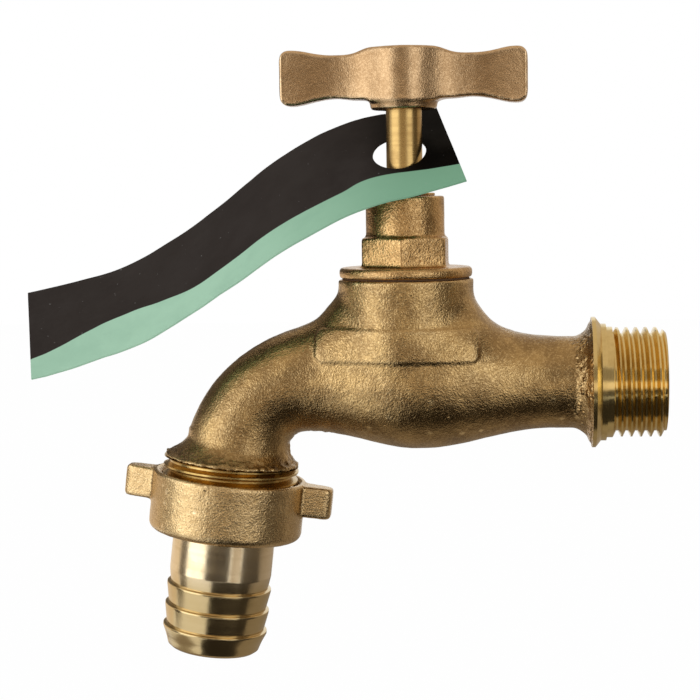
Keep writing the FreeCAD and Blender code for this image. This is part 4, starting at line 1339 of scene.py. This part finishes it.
@dataclass(frozen=True)
class Studio:
    """A pale floor, a white surround, soft lamps, cards for the brass to reflect, the camera."""

    focal_pixels: float = 1772.0
    sensor_width: float = 36.0
    near_limit: float = 0.01
    azimuth: float = 5.5
    elevation: float = 5.0
    roll: float = 0.85
    distance: float = 343.4 * MM
    aim: Triple = (-60.35 * MM, 0.0, 6.45 * MM)
    surround: float = 0.56
    floor_size: float = 6.0
    floor_drop: float = 150.0 * MM
    floor_colour: Colour = (0.86, 0.86, 0.86, 1.0)
    floor_roughness: float = 0.9
    # How white the floor is where the background shows
    floor_white: float = 0.985
    card_tint: Triple = (1.0, 0.85, 0.68)
    # Each card: name, bearing from the front, width, lowest and highest z, distance, glow
    cards: tuple[Row, ...] = (
        ("low_front_card", -4.0, 0.42, -0.198, -0.075, 0.43, 0.04),
        ("middle_front_card", -2.0, 0.34, -0.075, 0.050, 0.43, 0.98),
        ("high_front_card", -2.0, 0.34, 0.050, 0.300, 0.43, 0.26),
        ("low_gap_card", 38.0, 0.17, -0.198, -0.04, 0.44, 0.55),
        ("low_right_card", 78.0, 0.33, -0.198, 0.0, 0.45, 0.15),
        ("high_right_card", 78.0, 0.33, 0.0, 0.30, 0.45, 0.15),
        ("low_right_back_card", 133.0, 0.64, -0.198, 0.0, 0.45, 0.38),
        ("high_right_back_card", 133.0, 0.64, 0.0, 0.30, 0.45, 0.62),
        ("left_card", -87.0, 0.17, -0.198, 0.0, 0.45, 0.12),
        ("low_left_back_card", -133.0, 0.60, -0.198, 0.01, 0.45, 0.90),
        ("high_left_back_card", -133.0, 0.60, 0.01, 0.30, 0.45, 0.15))
    # Each sheet over the floor: name, middle along X and Y, length, depth, turn, glow
    floor_cards: tuple[Row, ...] = (
        ("under_sheet", 0.225, 0.31, 1.15, 0.80, 0.0, 0.30),
        ("front_sheet", -0.0075, -0.21, 0.315, 0.38, 0.0, 0.03),
        ("right_sheet", 0.432, -0.158, 0.60, 0.36, -34.0, 0.05))
    sheet_gap: float = 1.0 * MM
    ceiling_height: float = 0.50
    ceiling_size: float = 1.4
    ceiling_glow: float = 0.66
    # Each lamp: name, bearing, height angle, distance, width, height, radiance
    lamps: tuple[Row, ...] = (
        ("left_lamp", -56.0, 4.0, 0.80, 0.72, 0.66, 1.02),
        ("right_lamp", 44.0, 5.0, 0.80, 0.46, 0.66, 0.6),
        ("top_lamp", -20.0, 76.0, 0.70, 0.50, 0.50, 0.8))

    def build(self) -> None:
        """Builds the whole studio."""
        self.add_camera()
        self.add_world()
        self.add_floor()
        self.add_cards()
        self.add_lamps()
        bpy.context.scene.view_settings.view_transform = "Standard"

    def add_camera(self) -> None:
        """Puts the camera where the photograph was taken from."""
        back, right = towards(self.azimuth, self.elevation), towards(self.azimuth + 90)
        lean = Matrix.Rotation(math.radians(self.roll), 4, -back)
        camera = bpy.data.cameras.new("camera")
        camera.sensor_width = self.sensor_width
        camera.lens = self.sensor_width * self.focal_pixels / PICTURE_WIDTH
        camera.clip_start = self.near_limit
        holder = add_object("camera", camera)
        holder.matrix_world = placement(Vector(self.aim) + back * self.distance,
                                        lean @ right, lean @ back.cross(right), back)
        bpy.context.scene.camera = holder

    @staticmethod
    def sees_background(graph: Graph) -> Socket:
        """Finds out what kind of ray meets the surface.

        Args:
            graph: The surface's graph.

        Returns:
            1 for camera, glossy and transmission rays, else 0.
        """
        path = graph.add("ShaderNodeLightPath").outputs
        seen = graph.work_out("MAXIMUM", path["Is Camera Ray"], path["Is Glossy Ray"])
        return graph.work_out("MAXIMUM", seen, path["Is Transmission Ray"])

    def add_world(self) -> None:
        """Makes a white surround that lights the object softly."""
        world = bpy.data.worlds.new("surround")
        world.use_nodes = True
        bpy.context.scene.world = world
        graph = Graph(world.node_tree)
        strength = graph.stretch(self.sees_background(graph), 0.0, 1.0, self.surround, 1.0)
        graph.feed(world.node_tree.nodes["Background"], {"Color": WHITE, "Strength": strength})

    def floor_height(self) -> float:
        """Works out the floor's height below the lowest piece."""
        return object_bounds()[0].z - self.floor_drop

    def add_floor(self) -> None:
        """Lays a pale floor below the tap, which hangs free as it would on its wall."""
        bpy.ops.mesh.primitive_plane_add(size=self.floor_size, location=(0, 0, self.floor_height()))
        floor = bpy.context.object
        floor.name = "floor"
        floor.data.materials.append(self.floor_paint())
        floor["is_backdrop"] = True

    def floor_paint(self) -> Material:
        """Makes the floor's paint, which is white where the background shows.

        Returns:
            The material.
        """
        material, graph, shader = new_material("pale_floor")
        graph.feed(shader, {"Base Color": self.floor_colour, "Roughness": self.floor_roughness})
        glow = graph.add("ShaderNodeEmission", {"Color": WHITE, "Strength": 1.0})
        share = graph.times(self.sees_background(graph), self.floor_white)
        both = {0: share, 1: shader.outputs["BSDF"], 2: glow.outputs["Emission"]}
        graph.show(graph.add("ShaderNodeMixShader", both).outputs["Shader"])
        return material

    def card_paint(self, name: str, glow: float) -> Material:
        """Makes a card's paint.

        Args:
            name: The card's name.
            glow: How bright it is.

        Returns:
            The material.
        """
        material, graph, _ = new_material(name)
        colour = (*(glow * tint for tint in self.card_tint), 1.0)
        graph.show(graph.add("ShaderNodeEmission", {"Color": colour}).outputs["Emission"])
        return material

    def add_cards(self) -> None:
        """Stands cards round the object, which only its reflections show."""
        centre = Vector((self.aim[0], self.aim[1], 0))
        for name, bearing, width, bottom, top, reach, glow in self.cards:
            spot = centre + towards(bearing) * reach + Vector((0, 0, (bottom + top) / 2))
            turn = Matrix.Rotation(math.radians(bearing), 4, "Z")
            place = Matrix.Translation(spot) @ turn @ Matrix.Rotation(QUARTER_TURN, 4, "X")
            self.add_card(name, place, (width, top - bottom), glow)
        above = Matrix.Translation((self.aim[0], 0, self.ceiling_height))
        self.add_card("ceiling_card", above, (self.ceiling_size, self.ceiling_size), self.ceiling_glow)
        low = self.floor_height()
        for name, along, back, length, depth, turned, glow in self.floor_cards:
            low += self.sheet_gap
            turn = Matrix.Rotation(math.radians(turned), 4, "Z")
            place = Matrix.Translation((along, back, low)) @ turn
            self.add_card(name, place, (length, depth), glow)

    def add_card(self, name: str, place: Matrix, size: Pair, glow: float) -> None:
        """Adds one card that only glossy rays see.

        Args:
            name: The card's name.
            place: Its place.
            size: Its width and height.
            glow: How bright it is.
        """
        bpy.ops.mesh.primitive_plane_add(size=1)
        card = bpy.context.object
        card.name = name
        card.matrix_world = place @ Matrix.Diagonal((*size, 1, 1))
        card.data.materials.append(self.card_paint(name, glow))
        card.visible_camera = False
        card.visible_diffuse = False
        card.visible_shadow = False
        card.visible_transmission = False
        card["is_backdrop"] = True

    def add_lamps(self) -> None:
        """Hangs the soft lamps."""
        for name, bearing, lift, reach, width, height, radiance in self.lamps:
            lamp = bpy.data.lights.new(name, "AREA")
            lamp.shape = "RECTANGLE"
            lamp.size = width
            lamp.size_y = height
            lamp.energy = radiance * math.pi * width * height
            holder = add_object(name, lamp)
            way = towards(bearing, lift)
            holder.location = Vector(self.aim) + way * reach
            holder.rotation_euler = way.to_track_quat("Z", "Y").to_euler()


def main() -> None:
    """Builds the pieces in order, then the studio."""
    logging.basicConfig(level=logging.INFO, format="%(message)s")
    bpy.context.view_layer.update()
    finishes = Finishes()
    TapBody(finishes).build()
    Headwork(finishes).build()
    Handle(finishes).build()
    HoseUnion(finishes).build()
    HangStrip(finishes).build()
    HiddenParts(finishes).dress()
    Studio().build()


if __name__ == "__main__":
    main()
